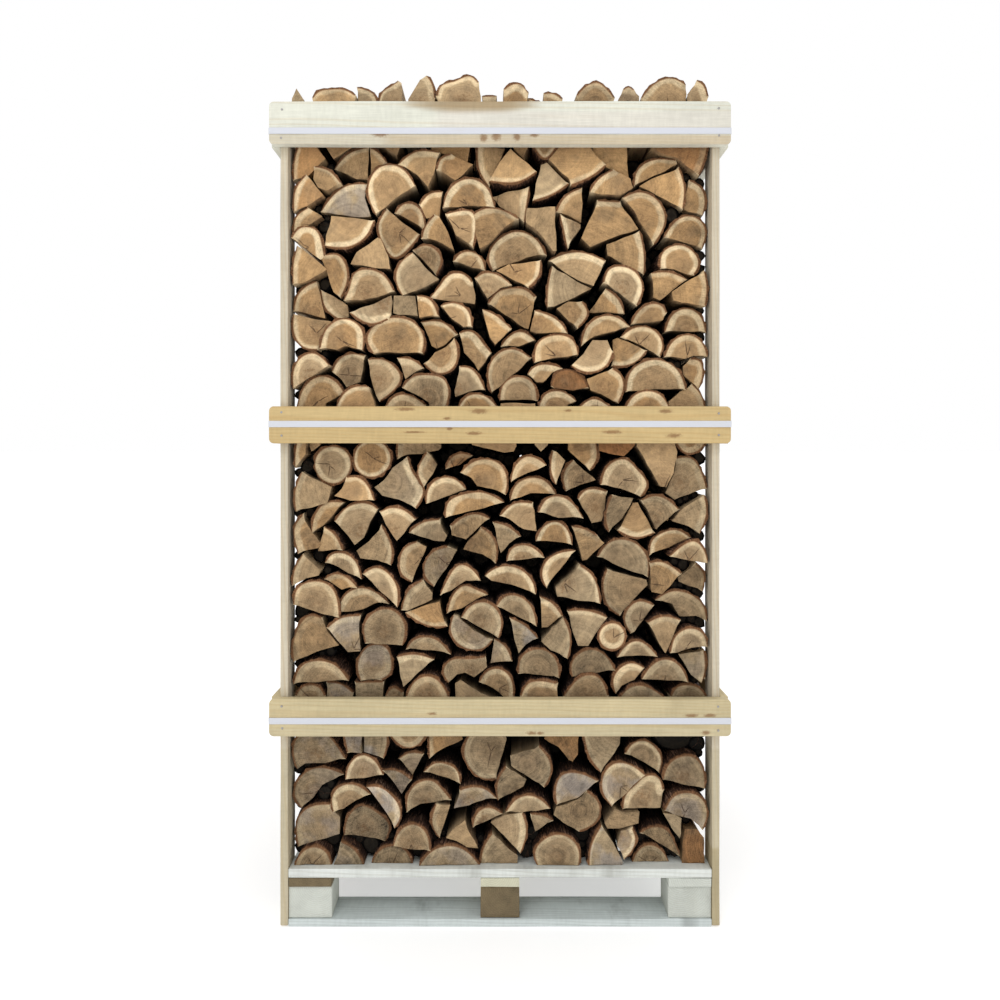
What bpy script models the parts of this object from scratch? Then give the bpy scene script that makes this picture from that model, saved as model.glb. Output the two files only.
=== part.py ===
"""Crate of oak firewood: a slatted crate on a wooden pallet, packed with split logs.

Metres, +Z up, front towards -Y, origin at the bottom centre of the pallet.
A pallet carries six posts, three rings of rails and three straps. Three rows
of split logs, one behind another, fill it, and loose logs lie on top of them.
"""

import math

import bmesh
import bpy

# Driving dimensions, in metres
GAP = 0.0003
PALLET_HALF = 0.536
BOARD_BOTTOM = 0.020
BLOCK_HEIGHT = 0.080
BOARD_DECK = 0.023
BLOCK_WIDE = 0.110
BLOCK_MIDDLE = 0.100
BLOCK_DEEP = 0.100
DECK_BOARD_WIDE = 0.100
DECK_BOARDS = 7
POST_THICK = 0.020
POST_WIDE = 0.075
POST_BOTTOM = 0.003
POST_TOP = 2.070
RAIL_THICK = 0.025
SIDE_RAIL_THICK = 0.0214
RAIL_CORNER = 0.012
RAIL_LEVELS = {"top": (1.971, 2.080), "middle": (1.223, 1.317), "lower": (0.490, 0.584)}
STRAP_WIDE = 0.016
STRAP_THICK = 0.001
STRAP_MIDDLE = {"top": 2.005, "middle": 1.272, "lower": 0.5295}

# The firewood, in metres
LOG_LENGTH = 0.330
ROW_STEP = 0.348
FACE_Y = -0.509
FACE_SPREAD = 0.012
DEPTH_WAVE_X = 91.7
DEPTH_WAVE_Z = 57.3
ROUND_SIDES = 8
PACKING_Y = -0.470
ROW_SIDE = 0.530
ROW_TOP = 2.0497
PEAK_Z = 2.105
PEAK_RISE = 0.045
PEAK_STEPS = 20
PEAK_TURN = 2.4
OVERLAP = 0.010
CENTIMETRE = 0.01
END_SHRINK = 0.0015
BIG_END = 0.0052
BIG_END_CORNERS = 5

# Where the front rails hide the ends: no end needs a shape of its own there, in cm
HIDDEN = ((198.9, 210), (122.6, 132), (47.6, 58))

# Split ends of the front row, read off by eye, in cm from the middle and from the floor. Each is
# (n, x,z, x,z, ...), clockwise seen from the front: the first n points lie on the bark's arc and
# the others are split corners. (x, z, r) is a whole round log.
STACK = (
    (3, -53.1,190.2, -52.9,195, -51.3,199.6, -48,199.4, -44.9,195.3, -49.4,191),
    (2, -53.2,200.2, -52.6,204.9, -47.7,204.9, -48,200),
    (3, -46.8,203, -41.5,204.8, -37.2,203.2, -37.9,198.8, -42.8,195.6, -45,199),
    (3, -42.6,193.2, -39.2,197, -34,198.6, -34,190.3, -37,190.5),
    (3, -33.5,198.6, -31.4,197.4, -29.3,194.8, -30.5,194.1, -33.3,191.6),
    (3, -47.2,192.9, -43.8,192, -40.8,188.9, -44.2,186.8, -46.4,187.6, -47.6,189.8),
    (3, -53.5,181.7, -53,187.3, -50.5,190.7, -49.4,189.9, -46,185.7, -50,183.1),
    (4, -46,182.3, -43,186.3, -38.5,189, -34.4,189.1, -34.8,185.5, -33.3,180.9, -37,180.7, -42,181.4),
    (5, -31.9,181.3, -33.9,187, -30.8,193.2, -26,193.3, -21.8,188.5, -26.5,185.4),
    (3, -25.7,193.8, -21.5,196.8, -15.6,196.5, -16.9,191, -18.4,187.8, -21.3,191),
    (2, -36.3,204, -25.4,204.6, -25.2,199, -26.4,196.1, -30.3,198.8, -36.3,199.4),
    (2, -20,204.4, -8.2,204.8, -7.8,198.5, -8.4,194.5, -12.5,196.2, -17.5,197.9),
    (2, -24.6,204.5, -20.5,204.6, -21,199.5, -24.4,199.4),
    (3, -16,192.3, -15.1,194.8, -12.6,196, -6.9,193.6, -11.4,189.5),
    (3, -2.9,188.5, -5.2,192.5, -5.7,199, 1.3,198.3, -0.6,193.8),
    (2, -7,204.8, 1.6,204.8, 1.2,199.2, -6.6,199.8),
    (3, 9.2,191.8, 5,189.3, -2.4,189.3, -2,190.6, 0,194.2, 2.7,197.6),
    (2, 2.4,204.7, 8,204.5, 7.4,199, 6.1,195.5, 3.6,198),
    (3, 15,199.6, 11.5,195.6, 8.3,199.4, 8.8,204.6, 14.8,204.7),
    (2, 15.6,204.8, 23.4,204.6, 22.6,200, 16,200),
    (3, 26.9,193.6, 23.5,190.9, 18.3,188.6, 17.3,190.5, 12.4,195, 16.3,199.4, 22.3,199.4),
    (3, 17.4,189, 13.5,186.4, 8.7,184.8, 9.2,189, 10.5,193.8, 12,194.4),
    (5, -14.5,182.7, -12.8,187.3, -7.5,189.9, -3.3,187.5, -1.5,182.8),
    (2, 7.5,188.4, 6.2,179.7, 4.8,180.6, 0,183.4, -2,186),
    (3, -20.6,184.1, -18,186.8, -14.9,187.2, -15.4,183, -15.6,180.7, -19,180.4),
    (3, 14.6,182, 16.8,185.8, 20.9,188, 21.2,184, 20.8,179.1, 17.5,180.9),
    (2, 24,204.4, 33,204.8, 32.8,195.3, 33.3,191.2, 29,193, 27.6,193.6, 23.9,196.9),
    (3, 23.1,187, 25.3,190.2, 28.9,192.5, 32,191.1, 33.4,190.2, 34.1,187.8, 31,186.1, 26,186.3),
    (4, 34.6,188.9, 35.3,192.5, 39,195.2, 45,195.1, 45.5,194.2, 38.8,190.9),
    (3, 45.9,193.1, 47.3,188.5, 46.9,182.9, 42,185.4, 35.8,188.5, 39.2,190.5),
    (3, 53.2,204.5, 53.1,197, 51.2,191.1, 48,193.2, 45.8,195.2, 41,196.6, 39.3,198, 40.2,204.3),
    (2, 33.8,204.7, 39.4,204.5, 38.4,199.4, 33.8,199.6),
    (4, 49.3,190, 51.8,188.5, 53.2,184.5, 52.6,181.4, 48.8,182.2, 47.7,182.9, 47.9,186),
    (3, -53.5,175.7, -52.9,180.3, -50.1,182.7, -46.3,180.6, -50,178.1),
    (4, -32.4,179.3, -34.2,175.6, -38.5,172.8, -44.7,172.9, -43.2,180.6, -37,180.1),
    (5, -53.5,174.9, -51.7,177.1, -47.6,176.8, -46.2,173.5, -45.6,169.9, -46.6,169.4, -51,172.7),
    (3, -53.5,163.2, -53.5,168.5, -52.5,172.5, -51.3,172.1, -44.9,166.8, -48.5,164.6, -51.5,163.2),
    (4, -44.5,170.5, -41.6,170.6, -39,165.5, -40.8,160, -42.6,161.1, -44.3,166.3, -45.5,169.4),
    (0, -38.2,168.2, -36.6,171.2, -31.2,174.8, -30.4,174.5, -28.5,170.2, -28,166.9, -34,167.6),
    (6, -20.7,176, -23,173, -27.2,170.2, -30.1,173.8, -31.3,178.5, -29.3,182.6),
    (5, -26.9,181.9, -24.8,184.1, -21.6,183.7, -19.8,181, -19.3,177.4, -22,179.2),
    (3, -19.8,174.9, -19,177.6, -16.7,180.4, -15.5,180.2, -13.3,176.3, -11.7,171.7, -16,174),
    (4, -22,171.7, -18.8,172.9, -15.1,169.8, -16.3,165.6, -19.3,168.8),
    (4, -24.9,160.2, -26.5,164, -25.3,168.5, -22.4,171, -17,165.4, -15.6,164.4, -21.3,161.4),
    (6, -39.7,159, -38.3,162.5, -37.2,165.8, -33,166.8, -29.2,164.8, -27.2,161.4, -31.5,159.6, -35,158.9),
    (4, -53.5,156.6, -52.3,160.8, -50,163, -47.7,164, -46.8,161, -45.5,154.6),
    (3, -41.6,154.5, -44.6,156.8, -46.1,161.8, -43,160.4, -39.3,158, -38.9,154.9),
    (4, -47.6,146.5, -51,147, -53.5,150.5, -53.5,155.3, -43.9,153.6, -46,150.5),
    (5, -45.7,146.9, -44.4,151.2, -39.6,154.1, -35.5,151.8, -35.1,146.3, -39.3,147.3, -41.5,146.3),
    (3, -28.8,154.2, -32.5,152.9, -38,155.6, -31,158.6, -27.8,160.2, -27.4,158.5, -27.8,155.5),
    (0, -27,160, -21.6,159.9, -21,154.9, -26,155.2, -27.2,155.6),
    (4, -21,160, -18.3,159.4, -16.7,157.5, -15.9,155.2, -20.6,154.5),
    (7, -32.3,145.5, -33.9,149, -31.5,153, -26.5,154.5, -21.3,152.7, -19.4,149, -19.8,145.6),
    (3, -13.7,180.8, -7.2,181.4, -6.9,172.8, -11.3,175.5),
    (4, -6.7,180.8, -4.5,182.1, 0.5,182, 4.5,179.9, 1.3,177.7, -3,173.3, -5.2,172.2, -6.2,175.5),
    (0, 6.8,182.4, 14.1,182.8, 14.4,171.4, 13.4,171.4, 11.2,174.6, 8.8,177.2, 6.6,178.7),
    (2, 17.2,172.4, 15.4,180.5, 20.6,178.2, 20.5,177.2),
    (6, -1.9,167, -2.9,170, -0.8,174.5, 4.8,177, 9.3,175, 11.6,171.2, 7,170.3, 2.4,168.6),
    (3, 10.3,168.9, 9.7,165, 7.3,162.4, 3,164.4, -1,166.5, 2.2,168.1),
    (5, -11.8,169.5, -10.3,171.2, -7.5,171.8, -4.7,169.9, -3.9,167.2, -7,167.6),
    (5, -18,159.9, -15.3,163.3, -12.8,166, -9,165.8, -7.3,164, -6.3,160.5, -6.5,158.3, -12,158.9),
    (4, -6.2,164.6, -4,165.9, -1,165.6, 2.7,163.1, 0.1,162.1, -3.2,159.4),
    (5, -2.8,158.3, -0.8,161, 3.5,162.3, 7,161.6, 8.8,160, 8.6,157.3, 7.3,151.8, 6.3,152, 1,155.5),
    (4, 12.8,169.7, 15.5,170.9, 21,171.6, 26.9,169.4, 25.6,166, 24.1,163, 20,164.6, 16,167.1),
    (3, 12.2,157.6, 12.3,162, 13.4,167.9, 17,166.1, 20,164.1, 23.6,162.4, 19.5,160.2, 14,157.6),
    (4, -15.1,157.6, -12,158.3, -8.4,156.6, -7.2,152.4, -9.4,152.2, -12.5,154.4),
    (3, -4.4,156.6, -1,155, 2.7,151.7, 0.2,148.9, -1.2,147.6, -2.6,149.5),
    (4, 9,156.2, 13,154.9, 16,152.6, 17.1,150.8, 9.3,150.6, 7.7,151.2, 8.3,154),
    (4, 0.4,147.6, 2.4,150, 5,151.2, 9.1,149, 7,148.3, 4.8,147.4),
    (2, 25.3,184.9, 30.8,184.7, 35.7,177.7, 30,175.8, 23.2,172.9, 20.9,175.1, 22.7,179.3),
    (5, 31.8,185.6, 35.5,186.9, 40.5,184.7, 42.4,180, 39.6,173.8, 37.2,177.5),
    (3, 35.9,176.9, 37,172, 37,166.1, 32,168.2, 28.6,170.5, 27.7,170.8, 27.4,173.6, 31,175),
    (6, 26.6,163.6, 28,166.9, 31.5,167.6, 35.2,165.7, 36.5,162.5, 35,157.9, 33.2,158.8, 30.5,160.9),
    (3, 27.2,161.9, 30.3,159.3, 31.9,155.7, 22.7,156, 25.8,160.3),
    (3, 21,158.6, 22.4,156, 20,152.2, 17.6,153.7, 14.5,156.9, 17.5,158.7),
    (5, 20.8,147.5, 22.2,152, 26.5,154.9, 30.3,154.3, 32.8,152.4, 29.5,151.1, 24.3,149.8),
    (5, 33.6,153, 35.3,156, 38.8,158, 41.3,157.4, 42.3,155.8, 41.5,153.8, 37,153.3),
    (3, 38.9,166, 42.5,166.3, 47.7,164.4, 41,159, 39.3,159.8),
    (6, 41.3,167.5, 41.8,171.3, 45.5,173.5, 49.4,172.2, 51.2,168.8, 50,166, 48.3,165.9, 45,167.2),
    (3, 52.7,166.2, 53.4,162, 52.9,157.7, 47,158.3, 44.8,158.9, 44.5,161.1, 48,163.5),
    (5, 43,151.3, 44.8,155.4, 48.8,157.1, 52,155.3, 53.4,151.3),
    (6, 42.9,175.6, 45.3,179.2, 48.7,181, 52.2,179.8, 53.5,177, 52.6,173, 49.5,173.8, 46.5,174.6),
    (5, -53.4,136.6, -53.4,140.5, -51.5,144.2, -48.3,145.4, -44.2,142.4, -46.3,141, -50.5,138.4),
    (4, -43.2,141, -41.3,144.2, -38,145.5, -35,145, -35.3,141.5, -36.1,138.2, -39.6,136.9, -40.9,138.9),
    (6, -33.8,144, -30.5,144.1, -27,142, -25.6,139.5, -27.5,136, -30.8,133.5, -32,135, -33.4,139.8),
    (3, -26,144.2, -22.8,143.9, -19.7,141.8, -24.2,138.8),
    (5, -52,131.3, -50.6,136.3, -46,139.7, -42,138, -40.2,135.4, -44.8,132.8, -46,128.6, -51.3,128.6),
    (4, -41.8,131.5, -39.5,135.4, -36.5,136.9, -33.5,136.8, -31.8,132, -32.2,128.6, -41,128.6),
    (6, -24.7,136.7, -22.5,139.1, -18,139.8, -14.5,138.9, -13.1,136, -13.8,132, -14.5,128.8,
     -17.5,129.5, -18.2,132.9),
    (4, -29.1,132, -27,134.4, -23.8,134.9, -19.3,132.3, -18.8,128.6, -28.5,128.6),
    (3, -52.2,116.4, -52.2,119.5, -50.8,126.6, -49.6,126.6, -49.6,119.6),
    (0, -48.9,127, -46,127, -46.3,122, -48.6,120.3, -49,121.5),
    (-43, 116.9, 4.75),
    (-32.8, 118.5, 4.75),
    (2, -26.4,118.6, -26.3,127, -15,127, -15.2,121.3, -16,120.6, -24.3,119.4),
    (3, -53.2,105.3, -53.5,110, -51.8,114.9, -49.4,113.7, -44.2,111.2, -45.3,107.1),
    (4, -39,113.7, -36.2,113.7, -33.9,111.8, -32.3,108, -38.3,107.8, -42.2,109, -40.3,110.9),
    (4, -23.8,119, -22.2,114.6, -19.7,110.3, -21.6,106, -26,108, -30.3,109, -32.3,111.1, -29.8,113,
     -27.5,116.2),
    (3, -19.6,111.5, -21,115, -18.7,119.9, -17.6,119.3, -16.1,117, -17.2,114.5),
    (3, -20,153.6, -15.5,153.8, -11.2,150.6, -14.2,147.7, -16.3,146.8, -17.6,147.5),
    (5, -11.7,149.3, -10.9,145.5, -12.5,141.4, -16,140.4, -19.3,142.8, -16.7,145.8, -14,147.1),
    (4, -10.2,150.7, -7.7,151.2, -4.8,148.7, -2.4,145.8, -5.6,141.2, -6.6,143, -9.2,145.7),
    (5, -2.2,135.6, -3.1,140, -1,145.1, 3.2,146.7, 7.7,144.5, 5.5,141.8, 0,137),
    (4, -10.2,142.1, -8,141.9, -5.6,139.7, -4,136.4, -8,135.7, -11.5,134.4, -11.7,136),
    (4, -10.6,131.8, -8.3,134.6, -4,134.7, -0.9,132, -2,128.6, -9.5,128.6),
    (5, 0,133.6, 0.8,137.4, 4.7,139.6, 8.4,138, 9.5,133.6),
    (4, 7.2,140.3, 8.8,142, 12,142.7, 15.8,141.8, 13.3,140.5, 11.1,138.1, 9.4,138.1),
    (5, 8.9,143.3, 9.7,148, 14.5,150.2, 18.8,148.7, 20,145.2),
    (4, 13.3,137.2, 14.5,140.2, 19,140.9, 22.5,136.8, 18.8,136, 14,136.6),
    (4, 10,131.8, 11.8,135.1, 15.8,135.8, 19.6,133.4, 17.5,132.4, 16.5,128.6, 11,128.6),
    (0, 0.2,132.6, 9,132.6, 9,128.6, 0,128.6),
    (2, -7.4,127, 4,127, 4.2,121.7, 3.5,120.3, 1.2,120, -4,121.2, -7.2,122),
    (0, 8.5,127, 12.5,127, 12.2,122, 10.4,120.3, 8.9,122),
    (4, -13.9,116, -13,118.2, -10.5,119.8, -7.4,119.3, -10.3,116.9),
    (5, -18.9,107, -18.3,111, -14.5,113.7, -11,112.9, -8.9,110.8, -12.5,109.2),
    (5, 2.8,112.6, 3.7,116.2, 6.9,119.1, 9.7,118.4, 11.8,116.9, 9.5,115.7, 5,113.9),
    (3, 14.2,112, 13,115.5, 13.5,120.3, 14.5,120.2, 16.6,118, 15.4,115),
    (3, 24.7,122.5, 24.7,118, 23.2,115.7, 20,118.4, 17.5,120.8, 18,127, 24.6,127),
    (5, 28.7,145.6, 27.3,142.5, 24,140.7, 20.5,141, 18.3,142.2, 21.3,145.2, 23.6,148.7, 27.4,148.7),
    (4, 37.4,146.1, 35.5,143.8, 32.5,142.4, 29,142.4, 29,149, 30.2,149.5, 34.5,147.7),
    (6, 31.3,149.9, 33.5,151.6, 37.3,152.4, 41,150, 41.8,147, 41.2,145.1, 39.7,145.7, 37,147.2),
    (5, 42.8,144.8, 44.8,148.6, 48.8,150.3, 52.2,148.3, 53.5,144.9, 50,144.9, 47.7,144.1),
    (6, 32.3,135.8, 33.3,140.5, 37.5,143.5, 42,143.5, 45.9,140.7, 47.6,136.4, 40,136.3),
    (4, 50.5,144.1, 52.6,143.7, 53.5,140.5, 52.5,136.6, 48.6,139.9, 48.5,142.3),
    (4, 28.9,141.4, 30.9,139.9, 31.5,136, 30.3,133.1, 28.9,133.3, 26,135, 23.2,136, 22.2,138.9),
    (3, 20.3,131.5, 23.7,133.8, 28.5,131.5, 28,128.6, 20.8,128.6),
    (5, 32.2,131.5, 34.3,134.6, 38,135.8, 41.3,134.6, 43.2,131.5, 42.5,128.6, 33,128.6),
    (3, 50.2,137.5, 52.2,135.2, 53.2,131.5, 53,128.6, 44.2,128.6, 44,133.2, 47,135.8),
    (0, 25.2,127, 34.8,127, 34.4,122, 31.6,119.1, 25.3,120.5),
    (6, 26,112, 27.5,116.3, 31.9,118.4, 35.6,115.3, 37.7,112, 36.1,108.8, 31,110.8),
    (0, 35.4,126.8, 44.4,126.8, 44.8,121.8, 45.3,120.2, 44.4,114.8, 42.6,111.2, 40.9,111.4,
     38.6,115.5, 34.9,121.6),
    (4, 53,123, 50.8,120.4, 47.5,120.1, 45.3,122.8, 45.7,127, 52.8,127),
    (4, 45.8,118.6, 49.2,118.7, 51.9,115.5, 53.3,111, 50,109.8, 45.2,107.9, 42.8,109.6, 44.6,113.6),
    (4, -48.1,99.6, -47.4,103.8, -44.7,107.1, -40.4,107.3, -42.8,104, -45.2,101.4),
    (5, -42.4,102.5, -40,105.5, -36,107.1, -33,106.6, -31.5,105.6, -33.4,102.2, -35,98.2, -37.4,96.2),
    (4, -52.6,94.6, -53.5,97.5, -53.4,101.5, -51.6,104, -49.2,99.7, -46.9,96.7, -47.6,95.6),
    (3, -44.9,100.9, -42.6,99.3, -40.5,95.3, -46.6,94.8),
    (5, -44.8,91.9, -43.5,93.7, -40.6,94.3, -37.3,92.4, -35.7,87.9, -39,89.1, -42.5,91.1),
    (3, -53.5,86.4, -53,90.2, -51,93.9, -46.4,90, -46.9,88.7, -50,88),
    (4, -30.4,101, -28.6,97.8, -27.7,94.5, -28.1,91.4, -31.5,92.4, -35.9,92.9, -36.9,94.8, -33.6,97.3),
    (4, -30.6,104.9, -28,105.9, -24.6,105.3, -21.8,103.1, -24.5,99.5, -26.5,97.4, -29.3,101.5),
    (3, -23.1,99.7, -20,102.1, -15.5,102.9, -14.9,100.9, -13.5,98.8, -14.2,97.4, -17,97.6),
    (5, -22.8,87, -25.2,88.8, -25.8,92, -24.6,95.4, -21.5,97, -18.9,95.8, -20.9,91.2),
    (5, -34.9,89.1, -31.8,90.6, -28.5,89, -26.3,85, -26.3,80.7, -31,84.9),
    (4, -44.8,87.7, -42.5,88.9, -39.3,88.1, -36.8,85.6, -38.6,85.5, -40.6,84.9),
    (6, -53.5,81.4, -52.8,85.1, -48.3,87.2, -44.2,85.7, -42.6,82.3, -42.2,78, -46.2,78.7, -50.5,80.2),
    (5, -41.7,78.9, -40.3,82.8, -36,85.2, -32,84, -28.8,81.3, -31.5,81.4, -36.5,79.4),
    (3, -25.1,79.9, -23.4,84.7, -19.9,87.2, -17.3,84, -17.4,82.4, -23.6,79.5),
    (6, -9.9,115.1, -7.5,117.3, -3.8,118.4, 0,117.1, 1.8,113.3, 1.4,109.5, -2,110.8, -5.8,111.5,
     -7.3,113.6),
    (5, -13.9,103.5, -13.3,107.2, -9,109.5, -4,109.8, 0.7,107.5, -4,105.9, -9,104.8),
    (5, 2.7,107.9, 4.1,111.7, 7.8,113.6, 11.7,112.7, 14.4,109.4, 7.9,109.6),
    (5, 10,105, 12,108.2, 15.2,108.9, 18.8,106.8, 21.1,103.5, 14.9,103.4),
    (3, 0.3,104, 3.6,106.9, 8.2,107, 8.9,105.1, 9.4,99.8, 6,100.4),
    (4, -12.4,101.3, -9.6,103.4, -6,104.3, -2.9,103.2, -8.7,97.8, -12.4,98.9),
    (4, -4.8,100.7, -2.4,98.9, -0.9,95.5, -1.1,91.8, -4.5,93.9, -9.4,95.2, -8.4,97.1),
    (3, -1.7,102.1, 1.9,101.1, 5,98.6, 2.3,96.6, 0.2,94.2, -0.6,96.7),
    (5, 9.3,97.4, 11.2,101, 14.5,102.3, 17.4,100.1, 18.5,96.5, 14.5,97.1),
    (4, 1.8,92.3, 3.1,95.4, 7,96.2, 11.2,93.3),
    (5, -17.1,85.9, -19.1,88.1, -19.3,91.6, -17,94.7, -13.5,95.8, -11,95.1, -13.8,90.2),
    (5, -15.3,83.6, -13.3,87.8, -10,91.3, -7.3,90.2, -5,87.3, -8.8,87.2, -12.6,84.6),
    (6, -3.8,88.4, -1.5,90.1, 3,90.8, 6.8,88.9, 8.7,86, 9.1,84, 3,86.1, -2.2,87.1),
    (5, 11.9,85.4, 10.9,88, 11.6,91.6, 14.5,93.9, 19.1,94.8, 16.2,90.9),
    (5, -13.5,79, -12.1,83.3, -9,85.8, -6.4,84.9, -3.2,83.5, -6.2,82.2, -10,79.9),
    (4, 20.5,91.1, 23.3,89, 24.9,85.7, 25.5,81.7, 14.6,83.4, 14.2,85.6, 17.3,88),
    (4, 17,110.3, 16.3,113, 17,116, 18.8,118, 21.8,115.3, 24.7,113, 20.8,111.8),
    (3, 20.1,108.2, 22,110.3, 27.4,110, 26.8,104.2, 26.1,102.4, 23.6,101.9),
    (4, 27.8,100.1, 27.1,102.5, 27.6,106.8, 28.6,109.1, 34,108.4, 31.3,103.4),
    (3, 39.6,99.4, 35.2,98.2, 30.4,100, 32.1,103.2, 34.1,107.1, 35.4,107.2),
    (4, 36.3,107.9, 39.5,109, 42.6,108.2, 45.6,105.6, 42.8,103, 39.9,100.4, 38.1,104.6),
    (3, 52.2,109, 52.7,104.5, 50.9,99.7, 48,101.3, 43.8,102.6, 47,106),
    (3, 18.7,101, 21.7,100.4, 24.8,98.7, 26.8,96.8, 22.3,92.5, 21.1,92.3, 20.5,95),
    (6, 25.4,93.4, 28,96.8, 32,97.7, 36,95.9, 38.1,92.3, 38.1,88.2, 31.5,90.4),
    (5, 38.6,93.9, 39.1,97.2, 42.5,99.7, 45.6,100.1, 48.8,98.3, 43.5,95.6),
    (5, 44,93.8, 47.5,96.7, 50,97.5, 52.3,95.6, 53.5,91.9, 47.5,92.8),
    (4, 38.6,91.7, 41.3,92, 44.3,90.7, 46.6,88.9, 41.7,83.6, 39,84.2, 38.7,88),
    (3, 51.2,91.3, 53.2,88.8, 52.8,84.6, 46.7,86.9, 46.7,88),
    (5, 30.8,78.2, 28,80.4, 26.7,84, 26.7,87.3, 27.6,89.9, 37.7,87.3, 38,85.9, 34.5,82.3),
    (5, 40.3,82.2, 44.8,84.4, 49,83.6, 52.2,81, 53.3,76.9, 50.5,78, 46.2,77.9, 44.5,81.1),
    (5, -53.2,66.9, -53.5,70.5, -52.3,75.1, -49.3,78.3, -46.4,77.7, -44.7,74, -41.9,70.6, -47.5,69.1),
    (3, -44,75.3, -40.9,77.6, -36,78.2, -36,72, -35.8,69.1, -39,68.9, -41.7,72),
    (6, -34.4,71.4, -34.8,75.8, -31.7,79.5, -28,79.9, -24.6,76.5, -25,70.6, -29,70.9),
    (8, -35.9,61.5, -36.7,64.5, -35.7,68.3, -33.2,70.4, -29.6,70, -28,66.8, -28.5,63, -30.5,61.7),
    (5, -53.5,60.8, -51.6,65.2, -47,66.7, -42.3,65.2, -39.5,61.9, -44.5,61.6),
    (5, -52.5,57.5, -51,59.6, -48.3,60.3, -46.2,59.4, -45.2,57.5, -45.6,54, -52,54),
    (3, -44.5,60.8, -41,60.4, -38,58.2, -38.1,54, -44.2,54),
    (2, -37.1,60.9, -30.2,60.9, -30.1,54, -37.3,54),
    (3, -29.4,57.5, -27.6,59.5, -25.2,58.2, -24.8,54, -29.2,54),
    (3, -26.2,68, -22,68.6, -17.1,67.3, -20.8,64, -24.6,60.4),
    (5, -23.8,57.8, -21.8,61.6, -18.2,63.1, -15,61.2, -13.2,57.8, -13.5,54, -23.3,54),
    (4, -13.8,75.6, -17.5,75.5, -21.5,77.1, -24.1,78.8, -20,80.6, -15.4,81.9, -15.1,79.5),
    (5, -23.8,70.1, -22.3,72, -18.5,73.1, -15,71.5, -12.9,69, -17.5,69.7),
    (6, -2.2,71.8, -4,70, -7.3,69.5, -11,71.3, -12.7,74.8, -11.9,78.2, -10.8,78, -7,74.6),
    (6, -9.7,78, -7.5,80.8, -4,81.8, -0.9,80, 0.4,76.5, -0.4,72.7, -5,75.2),
    (5, -0.8,80.9, 1.3,83.2, 4.8,83.3, 8.2,80.2, 9.3,75.7, 4.6,78),
    (3, 2.8,77.5, 6.2,75.8, 9.5,72.5, 6.5,70.6, 4.8,68.5, 3.7,72),
    (3, 10.4,83, 13.2,81.6, 15.8,78.3, 12.3,75.3, 10.7,75.2),
    (4, 16.2,77.7, 17.5,74.8, 17.9,71, 17.2,67.7, 13,69.6, 10.5,71.9, 13.3,75.3),
    (3, -1.3,71.9, 1.4,70, 3,66.5, -2.5,65.8, -1.9,69.2),
    (5, -13.2,61.3, -14.5,64.3, -12.5,67, -8,67.3, -3.9,67.7, -3.3,65.2, -6.6,62.6, -9,63.8, -11,63.3),
    (5, -5.2,61.3, -3.4,63.8, -0.5,64.6, 2.4,62.8, 3.4,57.5, 3.2,54, 1,57.3, -1.6,59.5),
    (0, -11.6,60.5, -10.2,61.4, -4.8,58, -0.5,56.3, -0.3,54, -11.6,54),
    (6, 4.8,63.4, 5.4,67.4, 9,69.7, 12.7,68.9, 14.9,65.5, 15.1,62.5, 10,63),
    (4, 5.4,58, 7.3,61.2, 9.8,61.8, 14.4,61.1, 14.7,57.5, 14.6,54, 5.6,54),
    (5, 16.4,57.8, 18.3,60.4, 21.3,62.9, 24.8,62.8, 27.6,57.8, 27,54, 16.8,54),
    (3, 17.5,79.4, 22.5,79.5, 27.3,77.9, 22.6,70.5, 20,70.5, 18.3,75.3),
    (28.6, 73.2, 3.35),
    (5, 33.7,73.7, 32.2,76.3, 33,79.8, 35.9,81.8, 39.4,80.8, 36.8,76.8, 34.7,73.9),
    (3, 37.9,76.6, 41.8,78.2, 46,77.3, 43.9,72.5, 42.2,68.8, 40.6,71.3),
    (5, 44.2,69.2, 45.3,73, 49,75.2, 52.3,73.9, 53.5,70.6, 49.5,70.2, 46,69.1),
    (5, 30.3,67.8, 32.1,70.4, 35.2,71.8, 38,70.4, 40.2,67.9),
    (6, 18.6,62.5, 18.3,65.5, 20.8,68.7, 24.3,69.4, 27.6,67.4, 29.3,64.4, 25,63.5),
    (5, 29.7,58.2, 29.1,61.5, 30.9,64.7, 34.2,66, 36.9,64.8, 34.6,61.7, 31.3,60.1),
    (5, 36.4,62.1, 38.8,65.4, 42.6,67.1, 46.1,65.3, 48.1,61.4, 42,61.7),
    (3, 52.9,69, 53.3,65, 52.4,60.7, 49.6,62.9, 46.4,68.1),
    (5, 30.8,57.3, 33,59.8, 36,60.5, 39.3,59.3, 42.1,57.3, 41.5,54, 31.5,54),
    (5, 44.1,57.3, 45.5,59.5, 48.5,60.2, 51.3,59.4, 53,57.3, 52.5,54, 44.5,54),
    (7, -52.6,39.3, -53.5,42.5, -53.2,46.2, -50.3,49, -46.5,49, -43,45.8, -40.6,42, -45.5,40.7, -50.5,40.6),
    (6, -51.3,28.8, -52.9,31.5, -51.9,36, -47.8,38.8, -44.5,38.6, -40.7,37.2, -46,34.4, -48.2,31.3),
    (5, -42.9,27.7, -43.3,31, -41.3,34.1, -37,34.6, -33.6,32.4, -37.2,30.5, -40.2,28.4),
    (5, -52.9,18.8, -53.4,22, -52.9,26, -50,28.7, -44.8,29.4, -43.9,27.7, -42.2,26.1, -42.3,21.8, -48,20.1),
    (5, -52.3,14.7, -50.7,17.8, -47.3,19.3, -44.3,17.7, -43.2,14.7),
    (2, -38.8,43.7, -40,49, -35.3,49.5, -35.3,43.4),
    (3, -29.2,49.5, -29,45, -29.9,42, -32.5,42.7, -34.8,43.4, -34.9,49.5),
    (5, -39.6,36.3, -38.5,40.2, -35.3,42.4, -32.2,40.8, -30.2,37.4, -34.8,36.4),
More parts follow.
